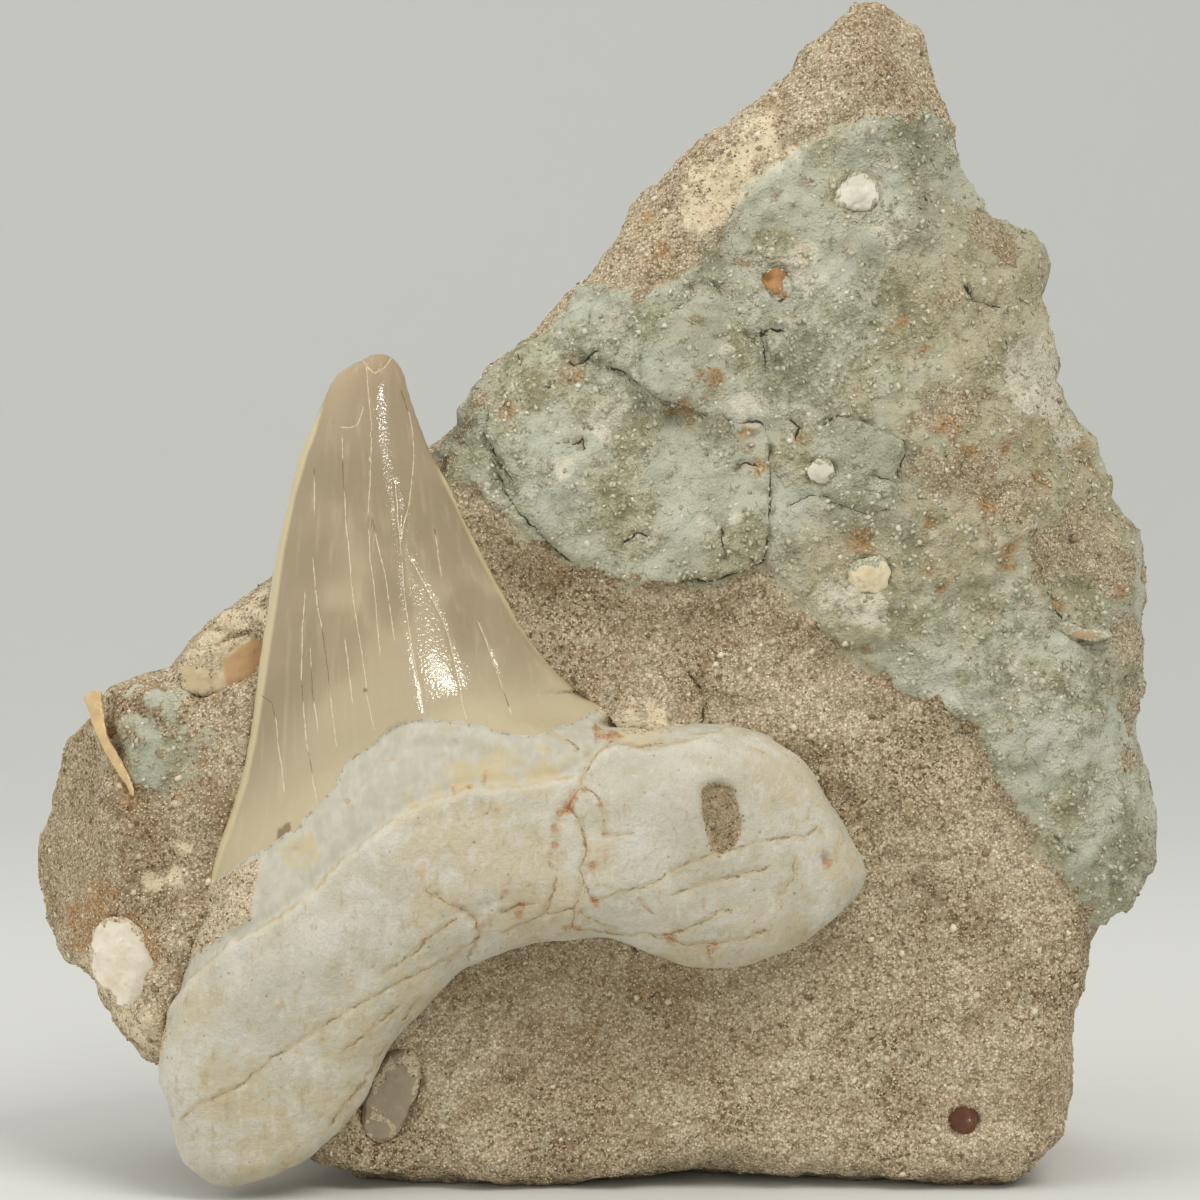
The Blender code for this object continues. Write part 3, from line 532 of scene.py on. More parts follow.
def spots(places, table):
    """How strongly each place lies in one of the round spots of a table, from 0 to 1."""
    strongest = np.zeros(len(places))
    for x, y, radius in table:
        away = np.hypot(places[:, 0] - x, places[:, 1] - y) / radius
        strongest = np.maximum(strongest, np.exp(-0.7 * away**2))
    return strongest


def heights(places, table):
    """The summed height of the round lumps and hollows of a table."""
    total = np.zeros(len(places))
    for x, y, radius, height in table:
        away = np.hypot(places[:, 0] - x, places[:, 1] - y) / radius
        total += height * ridge(away, 0, 1)
    return total


def steps(places, table):
    """The summed height of the broken edges of a table."""
    total = np.zeros(len(places))
    for height, reach, line in table:
        near, side = line_fields(places, [line])
        raised = step(side * np.sign(height), -0.08, 0.12)
        total += abs(height) * (raised - 0.35) * ridge(near, 0, reach)
    return total


def rough(points, size, seed):
    """Smooth noise, about -1 to 1, with lumps of a size."""
    shift = Vector((seed * 17.3, seed * 5.1, seed * 9.7))
    return np.array([noise.noise(Vector(point) / size + shift) for point in points])


def chipped(points, size, seed):
    """Flat chips with ridges between them, 0 at a ridge and up to about 1 inside a chip."""
    shift = Vector((seed * 7.7, seed * 3.9, seed * 1.3))
    found = np.empty(len(points))
    for index, point in enumerate(points):
        distances, _ = noise.voronoi(Vector(point) / size + shift)
        found[index] = distances[1] - distances[0]
    return found


def waves(points, table):
    """The summed noise of a table of (height, size of the lumps, seed)."""
    total = np.zeros(len(points))
    for height, size, seed in table:
        total += height * rough(points, size, seed)
    return total


def shaken(places, points, seed, reach):
    """Places in the photo pushed about by noise, so that lines drawn through them are ragged."""
    turns = (seed, seed + 1)
    pushes = [reach * waves(points, [(1.0, 1.2, turn), (0.6, 0.45, turn)]) for turn in turns]
    return places + np.column_stack(pushes)


def link(mesh, name):
    made = bpy.data.objects.new(name, mesh)
    bpy.context.scene.collection.objects.link(made)
    return made


def plain_mesh(source, name):
    """What an object's modifiers make, as a mesh of its own. The object is removed."""
    graph = bpy.context.evaluated_depsgraph_get()
    mesh = bpy.data.meshes.new_from_object(source.evaluated_get(graph))
    mesh.name = name
    bpy.data.objects.remove(source)
    return mesh


def remeshed(mesh, voxel, passes, name):
    """An evenly divided copy of a closed mesh, with its steps smoothed away."""
    source = link(mesh, name)
    remesh = source.modifiers.new("Even", "REMESH")
    remesh.mode = "VOXEL"
    remesh.voxel_size = voxel * MM
    if passes:
        smooth = source.modifiers.new("Smooth", "SMOOTH")
        smooth.factor = 0.5
        smooth.iterations = passes
    return plain_mesh(source, name)


def smoothed(mesh, weights, passes):
    """A copy of a mesh, smoothed where the weights say."""
    source = link(mesh, mesh.name)
    group = source.vertex_groups.new(name="smoothing")
    for share in range(1, 11):
        chosen = np.nonzero(np.round(weights * 10) == share)[0]
        group.add(chosen.tolist(), share / 10, "REPLACE")
    smooth = source.modifiers.new("Smooth", "SMOOTH")
    smooth.factor = 0.5
    smooth.iterations = passes
    smooth.vertex_group = "smoothing"
    return plain_mesh(source, mesh.name)


def rounded(node):
    """A copy of a node with each triangle divided and set on a rounded surface."""
    shape = bmesh.new()
    shape.from_mesh(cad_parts[node].data)
    bmesh.ops.remove_doubles(shape, verts=shape.verts, dist=0.00001)
    bmesh.ops.triangulate(shape, faces=shape.faces)
    merged = bpy.data.meshes.new(node + "_merged")
    shape.to_mesh(merged)
    shape.free()
    points, outward = points_of(merged), directions_of(merged)
    corners = np.array([face.vertices[:] for face in merged.polygons])
    cuts = ROUNDING_CUTS
    grid = [(i, j) for i in range(cuts + 1) for j in range(cuts + 1 - i)]
    weights = np.array([(i, j, cuts - i - j) for i, j in grid]) / cuts
    at, facing = points[corners], outward[corners]
    flat = np.einsum("kc,mcd->mkd", weights, at)
    pulled = np.zeros_like(flat)
    for corner in range(3):
        away = ((flat - at[:, None, corner]) * facing[:, None, corner]).sum(-1, keepdims=True)
        pulled += weights[None, :, corner, None] * (flat - away * facing[:, None, corner])
    round_points = (1 - PILLOW) * flat + PILLOW * pulled
    index = {place: number for number, place in enumerate(grid)}
    small = []
    for i, j in grid:
        if i + j < cuts:
            small.append((index[i, j], index[i + 1, j], index[i, j + 1]))
        if i + j < cuts - 1:
            small.append((index[i + 1, j], index[i + 1, j + 1], index[i, j + 1]))
    offsets = np.arange(len(corners))[:, None, None] * len(grid)
    faces = (offsets + np.array(small)[None]).reshape(-1, 3)
    mesh = bpy.data.meshes.new(node + "_rounded")
    mesh.from_pydata(round_points.reshape(-1, 3) * MM, [], faces.tolist())
    return mesh


def divided(mesh, chosen):
    """Divides every edge whose two points are chosen."""
    shape = bmesh.new()
    shape.from_mesh(mesh)
    shape.verts.ensure_lookup_table()
    edges = [edge for edge in shape.edges if all(chosen[vert.index] for vert in edge.verts)]
    bmesh.ops.subdivide_edges(shape, edges=edges, cuts=1, use_grid_fill=True)
    bmesh.ops.triangulate(shape, faces=[face for face in shape.faces if len(face.verts) > 4])
    shape.to_mesh(mesh)
    shape.free()
    mesh.update()


def finished(mesh, name, nodes):
    """Puts a mesh in the scene: it stands for nodes and rides with the stone."""
    mesh.name = name
    piece = link(mesh, name)
    mesh.shade_smooth()
    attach(piece, "root")
    if nodes:
        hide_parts(*nodes)
    return piece


class Value:
    """A number or colour that a node gives. Arithmetic on it adds Math nodes."""

    def __init__(self, maker, socket):
        self.maker = maker
        self.socket = socket

    def __add__(self, other):
        return self.maker.math("ADD", self, other)

    def __sub__(self, other):
        return self.maker.math("SUBTRACT", self, other)

    def __rsub__(self, other):
        return self.maker.math("SUBTRACT", other, self)

    def __mul__(self, other):
        return self.maker.math("MULTIPLY", self, other)

    def __truediv__(self, other):
        return self.maker.math("DIVIDE", self, other)

    def __abs__(self):
        return self.maker.math("ABSOLUTE", self)

    __radd__ = __add__
    __rmul__ = __mul__


class Maker:
    """Adds nodes to one tree."""

    def __init__(self, tree):
        self.tree = tree

    def node(self, kind, settings=None, values=None, output=0):
        """A node of a kind: its settings first, then the values or links of its sockets."""
        made = self.tree.nodes.new(kind)
        for key, setting in (settings or {}).items():
            setattr(made, key, setting)
        for key, value in (values or {}).items():
            sockets = [socket for socket in made.inputs if socket.enabled]
            if isinstance(key, str):
                key = [socket.name for socket in sockets].index(key)
            socket = sockets[key]
            if isinstance(value, Value):
                self.tree.links.new(value.socket, socket)
            else:
                socket.default_value = value
        sockets = [socket for socket in made.outputs if socket.enabled]
        if isinstance(output, str):
            return Value(self, next(socket for socket in sockets if socket.name == output))
        return Value(self, sockets[output]) if sockets else None

    def math(self, operation, *terms):
        return self.node("ShaderNodeMath", {"operation": operation}, dict(enumerate(terms)))

    def vector(self, operation, *terms):
        return self.node("ShaderNodeVectorMath", {"operation": operation}, dict(enumerate(terms)))

    def random(self, kind, low, high, seed):
        values = {"Min": low, "Max": high, "Seed": seed}
        return self.node("FunctionNodeRandomValue", {"data_type": kind}, values)


def srgb(red, green, blue):
    """A colour as a photo shows it, 0 to 255, in the linear numbers that shaders use."""
    linear = []
    for part in (red, green, blue):
        share = part / 255
        linear.append(share / 12.92 if share <= 0.04045 else ((share + 0.055) / 1.055) ** 2.4)
    return (*linear, 1.0)


class Finish(Maker):
    """A material, with the patterns that the finishes below are mixed from."""

    def __init__(self, name):
        self.material = bpy.data.materials.new(name)
        self.material.use_nodes = True
        super().__init__(self.material.node_tree)
        self.shader = self.tree.nodes["Principled BSDF"]
        self.where = self.node("ShaderNodeTexCoord", output="Object")

    def stretched(self, scale, turn=(0, 0, 0)):
        """The object's coordinates, scaled and turned in degrees."""
        angles = tuple(math.radians(angle) for angle in turn)
        values = {"Vector": self.where, "Scale": scale, "Rotation": angles}
        return self.node("ShaderNodeMapping", {"vector_type": "POINT"}, values)

    def shifted(self, distance):
        """The object's coordinates moved by some millimetres, for a pattern of its own."""
        values = {"Vector": self.where, "Location": (distance * MM,) * 3}
        return self.node("ShaderNodeMapping", {}, values)

    def warped(self, amount, size):
        """The object's coordinates pushed about by noise."""
        push = self.vector("SUBTRACT", self.cloud(size, 2, output="Color"), (0.5,) * 3)
        return self.vector("ADD", self.where, self.vector("SCALE", push, 2 * amount * MM))

    def cloud(self, size, detail=3.0, vector=None, roughness=0.55, output="Fac"):
        """Noise, around 0.5, with lumps of a size."""
        values = {"Scale": 1 / (size * MM), "Detail": detail, "Roughness": roughness}
        values["Vector"] = vector or self.where
        return self.node("ShaderNodeTexNoise", {}, values, output)

    def grains(self, size, vector=None):
        """Cells of a size: the distance from each one's middle, and a colour for each."""
        values = {"Scale": 1 / (size * MM), "Vector": vector or self.where}
        distance = self.node("ShaderNodeTexVoronoi", {}, values, "Distance")
        return distance, Value(self, distance.socket.node.outputs["Color"])

    def lightness(self, colour):
        return self.node("ShaderNodeSeparateColor", {}, {"Color": colour}, 0)

    def rise(self, value, low, high):
        """0 below low, 1 above high, and smooth between."""
        values = {"Value": value, "From Min": low, "From Max": high}
        return self.node("ShaderNodeMapRange", {"interpolation_type": "SMOOTHSTEP"}, values)

    def field(self, name):
        """A value that is stored on the surface's points."""
        return self.node("ShaderNodeAttribute", {"attribute_name": name}, output="Fac")

    def mix(self, share, first, second, blend="MIX"):
        settings = {"data_type": "RGBA", "blend_type": blend, "clamp_factor": True}
        return self.node("ShaderNodeMix", settings, {"Factor": share, "A": first, "B": second})

    def ramp(self, value, stops):
        """A colour read from stops of (place, colour) by a value."""
        made = self.node("ShaderNodeValToRGB", {}, {"Fac": value})
        steps = made.socket.node.color_ramp.elements
        for place, _ in stops[2:]:
            steps.new(place)
        for element, (place, colour) in zip(steps, stops):
            element.position = place
            element.color = colour
        return made

    def bump(self, height, depth, strength):
        """A normal from a height of 0 to 1, whose depth is in millimetres."""
        values = {"Strength": strength, "Distance": depth * MM, "Height": height}
        return self.node("ShaderNodeBump", {}, values)

    def set(self, **sockets):
        """Sets or links the shader's sockets: Base_Color means Base Color."""
        for name, value in sockets.items():
            socket = self.shader.inputs[name.replace("_", " ")]
            if isinstance(value, Value):
                self.tree.links.new(value.socket, socket)
            else:
                socket.default_value = value
        return self.material


# Stops of colour: (place, colour)
GRAIN_TONES = [
    (0.0, srgb(106, 86, 60)), (0.12, srgb(148, 127, 98)), (0.34, srgb(184, 166, 134)),
    (0.6, srgb(205, 188, 157)), (0.85, srgb(219, 205, 177)), (1.0, srgb(234, 224, 200)),
]
# Darker sand: painted shade for the sand in the root's pit, also the sand that clings to the brown
# pellet
DARK_AND_SHADED_SAND_TONES = [
    (0.0, srgb(84, 66, 42)), (0.2, srgb(134, 114, 82)), (0.6, srgb(166, 148, 114)),
    (1.0, srgb(190, 174, 142)),
]
CHIP_TONES = [
    (0.0, srgb(156, 151, 122)), (0.3, srgb(178, 174, 146)), (0.6, srgb(194, 190, 164)),
    (0.86, srgb(202, 197, 174)), (0.98, srgb(220, 214, 194)),
]
MARL_TONES = [
    (0.3, srgb(150, 146, 118)), (0.41, srgb(169, 167, 140)), (0.5, srgb(182, 180, 156)),
    (0.6, srgb(192, 190, 168)), (0.72, srgb(206, 202, 182)),
]
CHALK_TONES = [
    (0.3, srgb(187, 179, 156)), (0.5, srgb(198, 192, 173)), (0.66, srgb(206, 201, 186)),
]
IN_MARL = {"cover": MARL_TONES}  # a fragment that marl clings to, instead of sand

# Colours of the stone, the tooth and the sweep, and pairs of them that a pattern mixes
BROWN_AND_SHADE_WASH = srgb(160, 132, 98)
GRAIN_GAP_SHADE = srgb(108, 88, 60)
YELLOW_WASH = srgb(252, 242, 214)
CALM_MARL = srgb(180, 182, 164)
OLIVE_MARL = srgb(152, 146, 112)
WHITE_CRUMB = srgb(232, 226, 204)
DARK_CRUMB = srgb(116, 108, 80)
MARL_VEIN = srgb(112, 104, 74)
MARL_SHADE_AND_STAIN = srgb(136, 130, 98)
MARL_CRACK = srgb(62, 56, 32)
ROOT_GRIT = srgb(160, 150, 124)
WARM_CHALK = srgb(194, 175, 136)
GREY_CHALK = srgb(180, 176, 160)
DARK_FIBRE = srgb(168, 149, 110)
PALE_FIBRE = srgb(214, 209, 193)
FRECKLE = srgb(148, 126, 86)
WARM_BAND = srgb(202, 181, 134)
DULL_BAND = srgb(180, 172, 148)
BAND_LEDGE = srgb(194, 169, 118)
BAND_LIP = srgb(216, 209, 189)
RUSTY_CRACK = srgb(150, 92, 50)
CRACK_HALO = srgb(178, 152, 106)
ENAMEL_SEAM = srgb(130, 114, 74)
COOL_ENAMEL = srgb(152, 135, 104)
CROWN_FOOT = srgb(188, 173, 140)
CROWN_TIP = srgb(184, 156, 122)
PALE_RIM = srgb(212, 197, 156)
ENAMEL_STREAK = srgb(202, 186, 150)
ENAMEL_STAIN = srgb(104, 80, 46)
SWEEP_MOTTLE = srgb(186, 186, 182)
PEACH = srgb(190, 150, 106)
DRY_MARL = srgb(166, 150, 112), srgb(196, 184, 148)
PALE_SAND = srgb(218, 196, 154), srgb(228, 216, 188)
WHITE_MARL = srgb(202, 196, 172), srgb(226, 222, 206)
RUST_AND_SHADOW_BROWN = srgb(136, 98, 56), srgb(184, 148, 100)
SMOOTH_BAND = srgb(185, 180, 161), srgb(196, 191, 173)
CRACK_EARTH = srgb(124, 102, 68), srgb(170, 148, 108)
BONE_RUST = srgb(150, 94, 48), srgb(186, 138, 86)
CROWN_BODY = srgb(163, 145, 117), srgb(180, 162, 131)
SPLIT_TONES = srgb(220, 206, 174), srgb(128, 100, 62)
# The sweep's floor and wall tones: painted light on the floor, painted shade up the wall
SWEEP_LIT_AND_SHADED_TONES = srgb(217, 217, 211), srgb(192, 192, 187)


def stone_finish():
    """Sand of many grains, with the green marl, its stains, painted shade and its cracks over it."""
    made = Finish("sand_and_marl")
    speck = made.cloud(0.7, 3, roughness=0.7)
    grit = made.cloud(0.24, 0)
    ragged = made.field("ragged") + 0.35 * (speck - 0.5)
    torn = made.field("torn") + 0.4 * (speck - 0.5)
    shade_and_dark_stone = made.field("shade_and_dark_stone")
    broad = made.field("broad")
    middling = made.field("middling")

    between, colour_of_grain = made.grains(0.25)
    tone = 0.85 * made.lightness(colour_of_grain) + 0.35 * (speck - 0.5) + 0.2 * broad + 0.06
    sand = made.ramp(tone, GRAIN_TONES)
    # Brown patches of the sand, and the painted shade of the dark spots
    brown_and_shade = made.rise(middling, 0.0, 0.35) * 0.35 + shade_and_dark_stone * 0.4
    sand = made.mix(brown_and_shade, sand, made.mix(0.8, sand, BROWN_AND_SHADE_WASH, "MULTIPLY"))
    # Painted shade in the crevices between the grains
    gaps = made.rise(between, 0.3, 0.6)
    sand = made.mix(gaps * 0.42, sand, GRAIN_GAP_SHADE)

    calm = made.rise(middling + 0.5 * broad, -0.05, 0.35)
    mottle = 0.8 * (1 - 0.6 * calm) * (speck - 0.5) + 0.45 * ragged * (1 - 0.5 * calm)
    marl = made.ramp(0.2 * middling + mottle + 0.52, MARL_TONES)
    yellow = made.rise(broad, -0.15, 0.35)
    marl = made.mix(yellow * 0.35, marl, made.mix(1.0, marl, YELLOW_WASH, "MULTIPLY"))
    marl = made.mix(calm * 0.6, marl, CALM_MARL)
    dry = made.rise(made.field("dry") + ragged * 0.8, 0.1, 0.8)
    marl = made.mix(dry * 0.6, marl, made.mix(speck, *DRY_MARL))
    olive = made.rise(torn, 0.14, 0.34)
    marl = made.mix(olive * 0.24, marl, OLIVE_MARL)
    middle, which = made.grains(1.3, made.warped(0.6, 0.7))
    which = made.rise(made.lightness(which), 0.45, 0.55)
    marl = made.mix((1 - made.rise(middle, 0.06, 0.16)) * which * 0.8, marl, WHITE_CRUMB)
    marl = made.mix((1 - made.rise(middle, 0.03, 0.13)) * (1 - which) * 0.5, marl, DARK_CRUMB)
    vein = 1 - made.rise(abs(made.cloud(2.3, 2, vector=made.shifted(60)) - 0.5), 0.004, 0.022)
    marl = made.mix(vein * made.rise(torn, 0.05, 0.17) * 0.6, marl, MARL_VEIN)
    # Painted shade of the dark spots, over the marl
    marl = made.mix(shade_and_dark_stone * 0.4, marl, MARL_SHADE_AND_STAIN)

    on_marl = made.rise(made.field("marl") + ragged * 3.6, -0.25, 0.35)
    broken = made.rise(made.field("sandy") + ragged * 1.2, 0.3, 0.6)
    on_marl = on_marl * (1 - broken * 0.8)
    colour = made.mix(on_marl, sand, marl)

    pale = made.rise(made.field("pale") + torn * 1.3, 0.36, 0.8)
    pale_tone = made.mix(speck, *PALE_SAND)
    white_tone = made.mix(speck, *WHITE_MARL)
    pale_tone = made.mix(on_marl * 0.8, pale_tone, white_tone)
    colour = made.mix(pale * 0.75, colour, pale_tone)
    # Rust stains, and the painted shadow beside the amber blade
    rust = made.rise(made.field("rust") + torn * 1.3 + (grit - 0.5) * 0.4, 0.36, 1.0)
    rusty = made.mix(made.rise(grit, 0.35, 0.65), *RUST_AND_SHADOW_BROWN)
    colour = made.mix(rust * 0.75, colour, rusty)
    width = 0.015 + 0.1 * made.rise(ragged, -0.16, 0.24)
    side = abs(made.field("crack_side") + (speck - 0.5) * 0.2)
    crack = 1 - made.rise(side / width, 0.6, 1.3)
    crack = crack * (1 - made.rise(made.field("crack_near"), 0.34, 0.46))
    colour = made.mix(crack * 0.9, colour, MARL_CRACK)

    relief = (0.3 + made.rise(made.field("marl"), -0.3, 0.4)) * (1.1 * speck + 0.35 * grit)
    relief = relief * (1 - 0.5 * calm * on_marl)
    return made.set(
        Base_Color=colour, Roughness=0.93 - 0.1 * on_marl, Normal=made.bump(relief, 0.6, 0.85),
        Specular_IOR_Level=0.25,
    )


def tooth_finish():
    """A chalky, stained root with a smooth grey band, under the polished enamel of the crown."""
    made = Finish("root_and_enamel")
    speck = made.cloud(0.5, 3, roughness=0.7)
    grit = made.cloud(0.22, 0)
    fibre = made.cloud(1.0, 2, vector=made.stretched((1.0, 1.0, 0.42), (0, -14, 0)), roughness=0.7)
    streak = made.cloud(0.8, 2, vector=made.stretched((1.0, 1.0, 0.06), (0, 6, 0)))
    ragged = made.field("ragged") + 0.3 * (speck - 0.5)
    torn = made.field("torn") + 0.4 * (speck - 0.5)
    middling = made.field("middling")
    enamel_line = made.field("enamel")
    enamel = made.rise(enamel_line + ragged * 0.35 + (grit - 0.5) * 0.15, -0.06, 0.08)
    band_line = made.field("band")
    band = made.rise(band_line + ragged * 0.6, -0.3, 0.4)

    chalk = made.ramp(0.5 + 0.3 * middling + 0.3 * ragged, CHALK_TONES)
    chalk = made.mix(made.rise(grit, 0.3, 0.7) * 0.16, chalk, ROOT_GRIT)
    warm = made.rise(made.field("warm") + torn * 1.1, 0.35, 1.05)
    chalk = made.mix(warm * 0.55, chalk, WARM_CHALK)
    grey = made.rise(made.field("grey") + ragged * 0.9, 0.3, 1.0)
    chalk = made.mix(grey * 0.34, chalk, GREY_CHALK)
    chalk = made.mix(made.rise(fibre, 0.56, 0.74) * 0.5, chalk, DARK_FIBRE)
    chalk = made.mix((1 - made.rise(fibre, 0.28, 0.45)) * 0.4, chalk, PALE_FIBRE)
    freckle = 1 - made.rise(made.grains(1.35)[0] + (speck - 0.5) * 0.3, 0.02, 0.13)
    chalk = made.mix(freckle * made.rise(torn, -0.2, 0.04) * 0.8, chalk, FRECKLE)
    smooth_band = made.mix(made.rise(fibre, 0.35, 0.7), *SMOOTH_BAND)
    smooth_band = made.mix(warm * 0.7, smooth_band, WARM_BAND)
    smooth_band = made.mix(made.rise(ragged, 0.05, 0.3) * 0.4, smooth_band, DULL_BAND)
    bone = made.mix(band, chalk, smooth_band)
    ledge = 1 - made.rise(abs(band_line + 0.1 + ragged * 0.5), 0.02, 0.3)
    bone = made.mix(ledge * made.rise(torn, -0.1, 0.1) * 0.6, bone, BAND_LEDGE)
    lip = 1 - made.rise(abs(band_line + 0.5 + ragged * 0.5), 0.1, 0.4)
    bone = made.mix(lip * 0.25, bone, BAND_LIP)

    width = 0.03 + 0.12 * made.rise(torn, -0.1, 0.2)
    side = abs(made.field("crack_side") + (speck - 0.5) * 0.45)
    gate = 1 - made.rise(made.field("crack_near"), 0.34, 0.46)
    crack = (1 - made.rise(side / width, 0.4, 1.4)) * gate * made.rise(ragged, -0.2, -0.04)
    halo = (1 - made.rise(made.field("crack_near") + torn * 1.1, -0.05, 0.5)) * 0.4
    rust = made.rise(made.field("rust") + torn * 1.6, 0.4, 1.1)
    crack_colour = made.mix(made.rise(grit, 0.35, 0.65), *CRACK_EARTH)
    crack_colour = made.mix(rust * 0.8, crack_colour, RUSTY_CRACK)
    bone = made.mix(halo, bone, CRACK_HALO)
    rusty = made.mix(made.rise(grit, 0.4, 0.6), *BONE_RUST)
    bone = made.mix(rust * 0.7, bone, rusty)
    bone = made.mix(crack * 0.8, bone, crack_colour)
    seam = (1 - made.rise(abs(enamel_line + 0.06), 0.04, 0.24)) * made.rise(speck, 0.5, 0.6)
    bone = made.mix(seam * 0.7, bone, ENAMEL_SEAM)
    pit = made.rise(made.field("sand_fill") + (speck - 0.5) * 0.7, -0.05, 0.2)
    grain_tone = 0.45 + 1.4 * (speck - 0.5) + 0.9 * (grit - 0.5)
    # In the pit the sand is painted darker, as painted shade of the recess
    loose, shaded_pit = made.ramp(grain_tone, GRAIN_TONES), made.ramp(grain_tone, DARK_AND_SHADED_SAND_TONES)
    sand = made.mix(made.field("pit_grains"), loose, shaded_pit)
    bone = made.mix(pit, bone, sand)

    deep = made.field("deep")
    up_crown = made.rise(enamel_line, 0.5, 9.0)
    body = made.mix(made.rise(deep, -0.25, 0.3), *CROWN_BODY)
    cool = made.rise(made.field("cool") + middling * 0.5, 0.25, 0.85)
    body = made.mix(cool * 0.65, body, COOL_ENAMEL)
    glaze = made.mix(up_crown, CROWN_FOOT, body)
    tip = made.rise(enamel_line, 24, 38)
    glaze = made.mix(tip * 0.4, glaze, CROWN_TIP)
    rim = 1 - made.rise(made.field("rim") + deep * 0.12 + (speck - 0.5) * 0.1, 0.25, 0.62)
    glaze = made.mix(rim * 0.85, glaze, PALE_RIM)
    glaze = made.mix(made.rise(streak, 0.48, 0.8) * 0.3, glaze, ENAMEL_STREAK)
    line_width = 0.025 + 0.045 * made.rise(speck, 0.4, 0.65)
    split_side = abs(made.field("split_side") + torn * 0.1)
    split_gate = 1 - made.rise(made.field("split_near"), 0.25, 0.36)
    split = (1 - made.rise(split_side / line_width, 0.4, 1.4)) * split_gate
    split = split * made.rise(torn, -0.34, -0.2)
    split_colour = made.mix(made.rise(middling, 0.25, 0.4), *SPLIT_TONES)
    glaze = made.mix(split * 0.85, glaze, split_colour)
    stain = made.rise(made.field("stain") + (streak - 0.5) * 1.2, 0.35, 0.9)
    glaze = made.mix(stain * 0.7, glaze, ENAMEL_STAIN)

    bone_height = (1 - band * 0.75) * (0.9 * speck + 0.5 * fibre)
    enamel_height = 0.1 * streak + 0.1 * speck + (0.04 + 0.12 * made.field("sheen")) * grit
    in_enamel = made.rise(enamel_line, -0.05, 0.05)
    height = bone_height * (1 - in_enamel) + enamel_height * in_enamel
    return made.set(
        Base_Color=made.mix(enamel, bone, glaze),
        Roughness=(0.82 - 0.12 * band) * (1 - enamel) + enamel * 0.12,
        Normal=made.bump(height, 0.3, 0.7),
        Coat_Weight=enamel * (1 - split) * 0.15,
        Coat_Roughness=0.09,
    )


def grain_finish(name, stops):
    """Loose grains, each of its own tone."""
    made = Finish(name)
    tone = made.field("tone") + (made.cloud(0.18, 2) - 0.5) * 0.3
    normal = made.bump(made.cloud(0.12, 2), 0.05, 0.6)
    return made.set(Base_Color=made.ramp(tone, stops), Roughness=0.75, Normal=normal)


def fragment_finish(
    name, pale, deep, spot, roughness, coat=0.0, patch=None, cover=GRAIN_TONES,
):
    """Old bone, shell or pebble: two tones, a stain, a patch, and the stone that clings to it."""
    made = Finish(name)
    cloud = made.cloud(1.6, 4)
    speck = made.cloud(0.4, 3, roughness=0.7)
    colour = made.mix(made.rise(cloud, 0.35, 0.66), deep, pale)
    stain = made.rise(made.cloud(0.8, 3, roughness=0.7), 0.56, 0.74)
    colour = made.mix(stain * 0.6, colour, spot)
    colour = made.mix(made.rise(speck, 0.55, 0.7) * 0.45, colour, deep)
    if patch:
        edge = made.field("patch") + (made.cloud(0.9, 3) - 0.5) * 0.9
        colour = made.mix(made.rise(edge, -0.15, 0.25) * 0.85, colour, patch)
    tone = 0.43 + 1.3 * (speck - 0.5) + 0.8 * (made.cloud(0.24, 0) - 0.5)
    covered = made.rise(made.field("covered") + (speck - 0.5) * 0.9, 0.35, 0.6)
    colour = made.mix(covered, colour, made.ramp(tone, cover))
    height = 0.7 * speck + 0.3 * (1 - made.grains(0.4)[0])
    normal = made.bump(height, 0.14 if roughness > 0.4 else 0.04, 0.6)
    return made.set(
        Base_Color=colour, Roughness=roughness + 0.1 * cloud, Normal=normal,
        Coat_Weight=coat, Coat_Roughness=0.12,
    )


def studio_finish():
    """Matt paper, painted lighter on the floor and darker up the wall: painted light and shade."""
    made = Finish("pale_sweep")
    back = made.node("ShaderNodeSeparateXYZ", {}, {"Vector": made.where}, "Y")
    shade = made.mix(made.rise(back, 0.05, 0.45), *SWEEP_LIT_AND_SHADED_TONES)
    shade = made.mix(made.cloud(90, 2) * 0.1, shade, SWEEP_MOTTLE)
    return made.set(Base_Color=shade, Roughness=0.9)


def face_depth(height):
    """The y of the stone's face at a height."""
    return stone_face + FACE_LEAN * height + UPPER_LEAN * np.maximum(height - LEAN_CHANGE, 0)


def draw_out(points, solid, side, bottom):
    """Moves the points near the tooth's left (-1) or right (1) edge out to the solid's edge.

    The moves are evened out over five rows, and the lowest rows move less.
    """
    rows = np.arange(bottom, solid[:, 2].max() - EDGE_ROW, EDGE_ROW)
    gaps = []
    for row in rows:
        edges = []
        for cloud in (points, solid):
            level = np.abs(cloud[:, 2] - row) < EDGE_ROW
            edges.append((side * cloud[level, 0]).max())
        gaps.append((edges[0], np.clip(edges[1] - edges[0], 0, MOST_DRAWN)))
    edge, gap = np.array(gaps).T
    gap = np.convolve(np.pad(gap, 2, mode="edge"), np.full(5, 1 / 5), "valid")
    lowest = len(gap) // 12
    gap[:lowest] *= np.linspace(0.5, 1, lowest)
    inward = np.interp(points[:, 2], rows, edge) - side * points[:, 0]
    shift = np.interp(points[:, 2], rows, gap, left=0.0) * (1 - step(inward, *DRAWN_REACH))
    points[:, 0] += side * shift


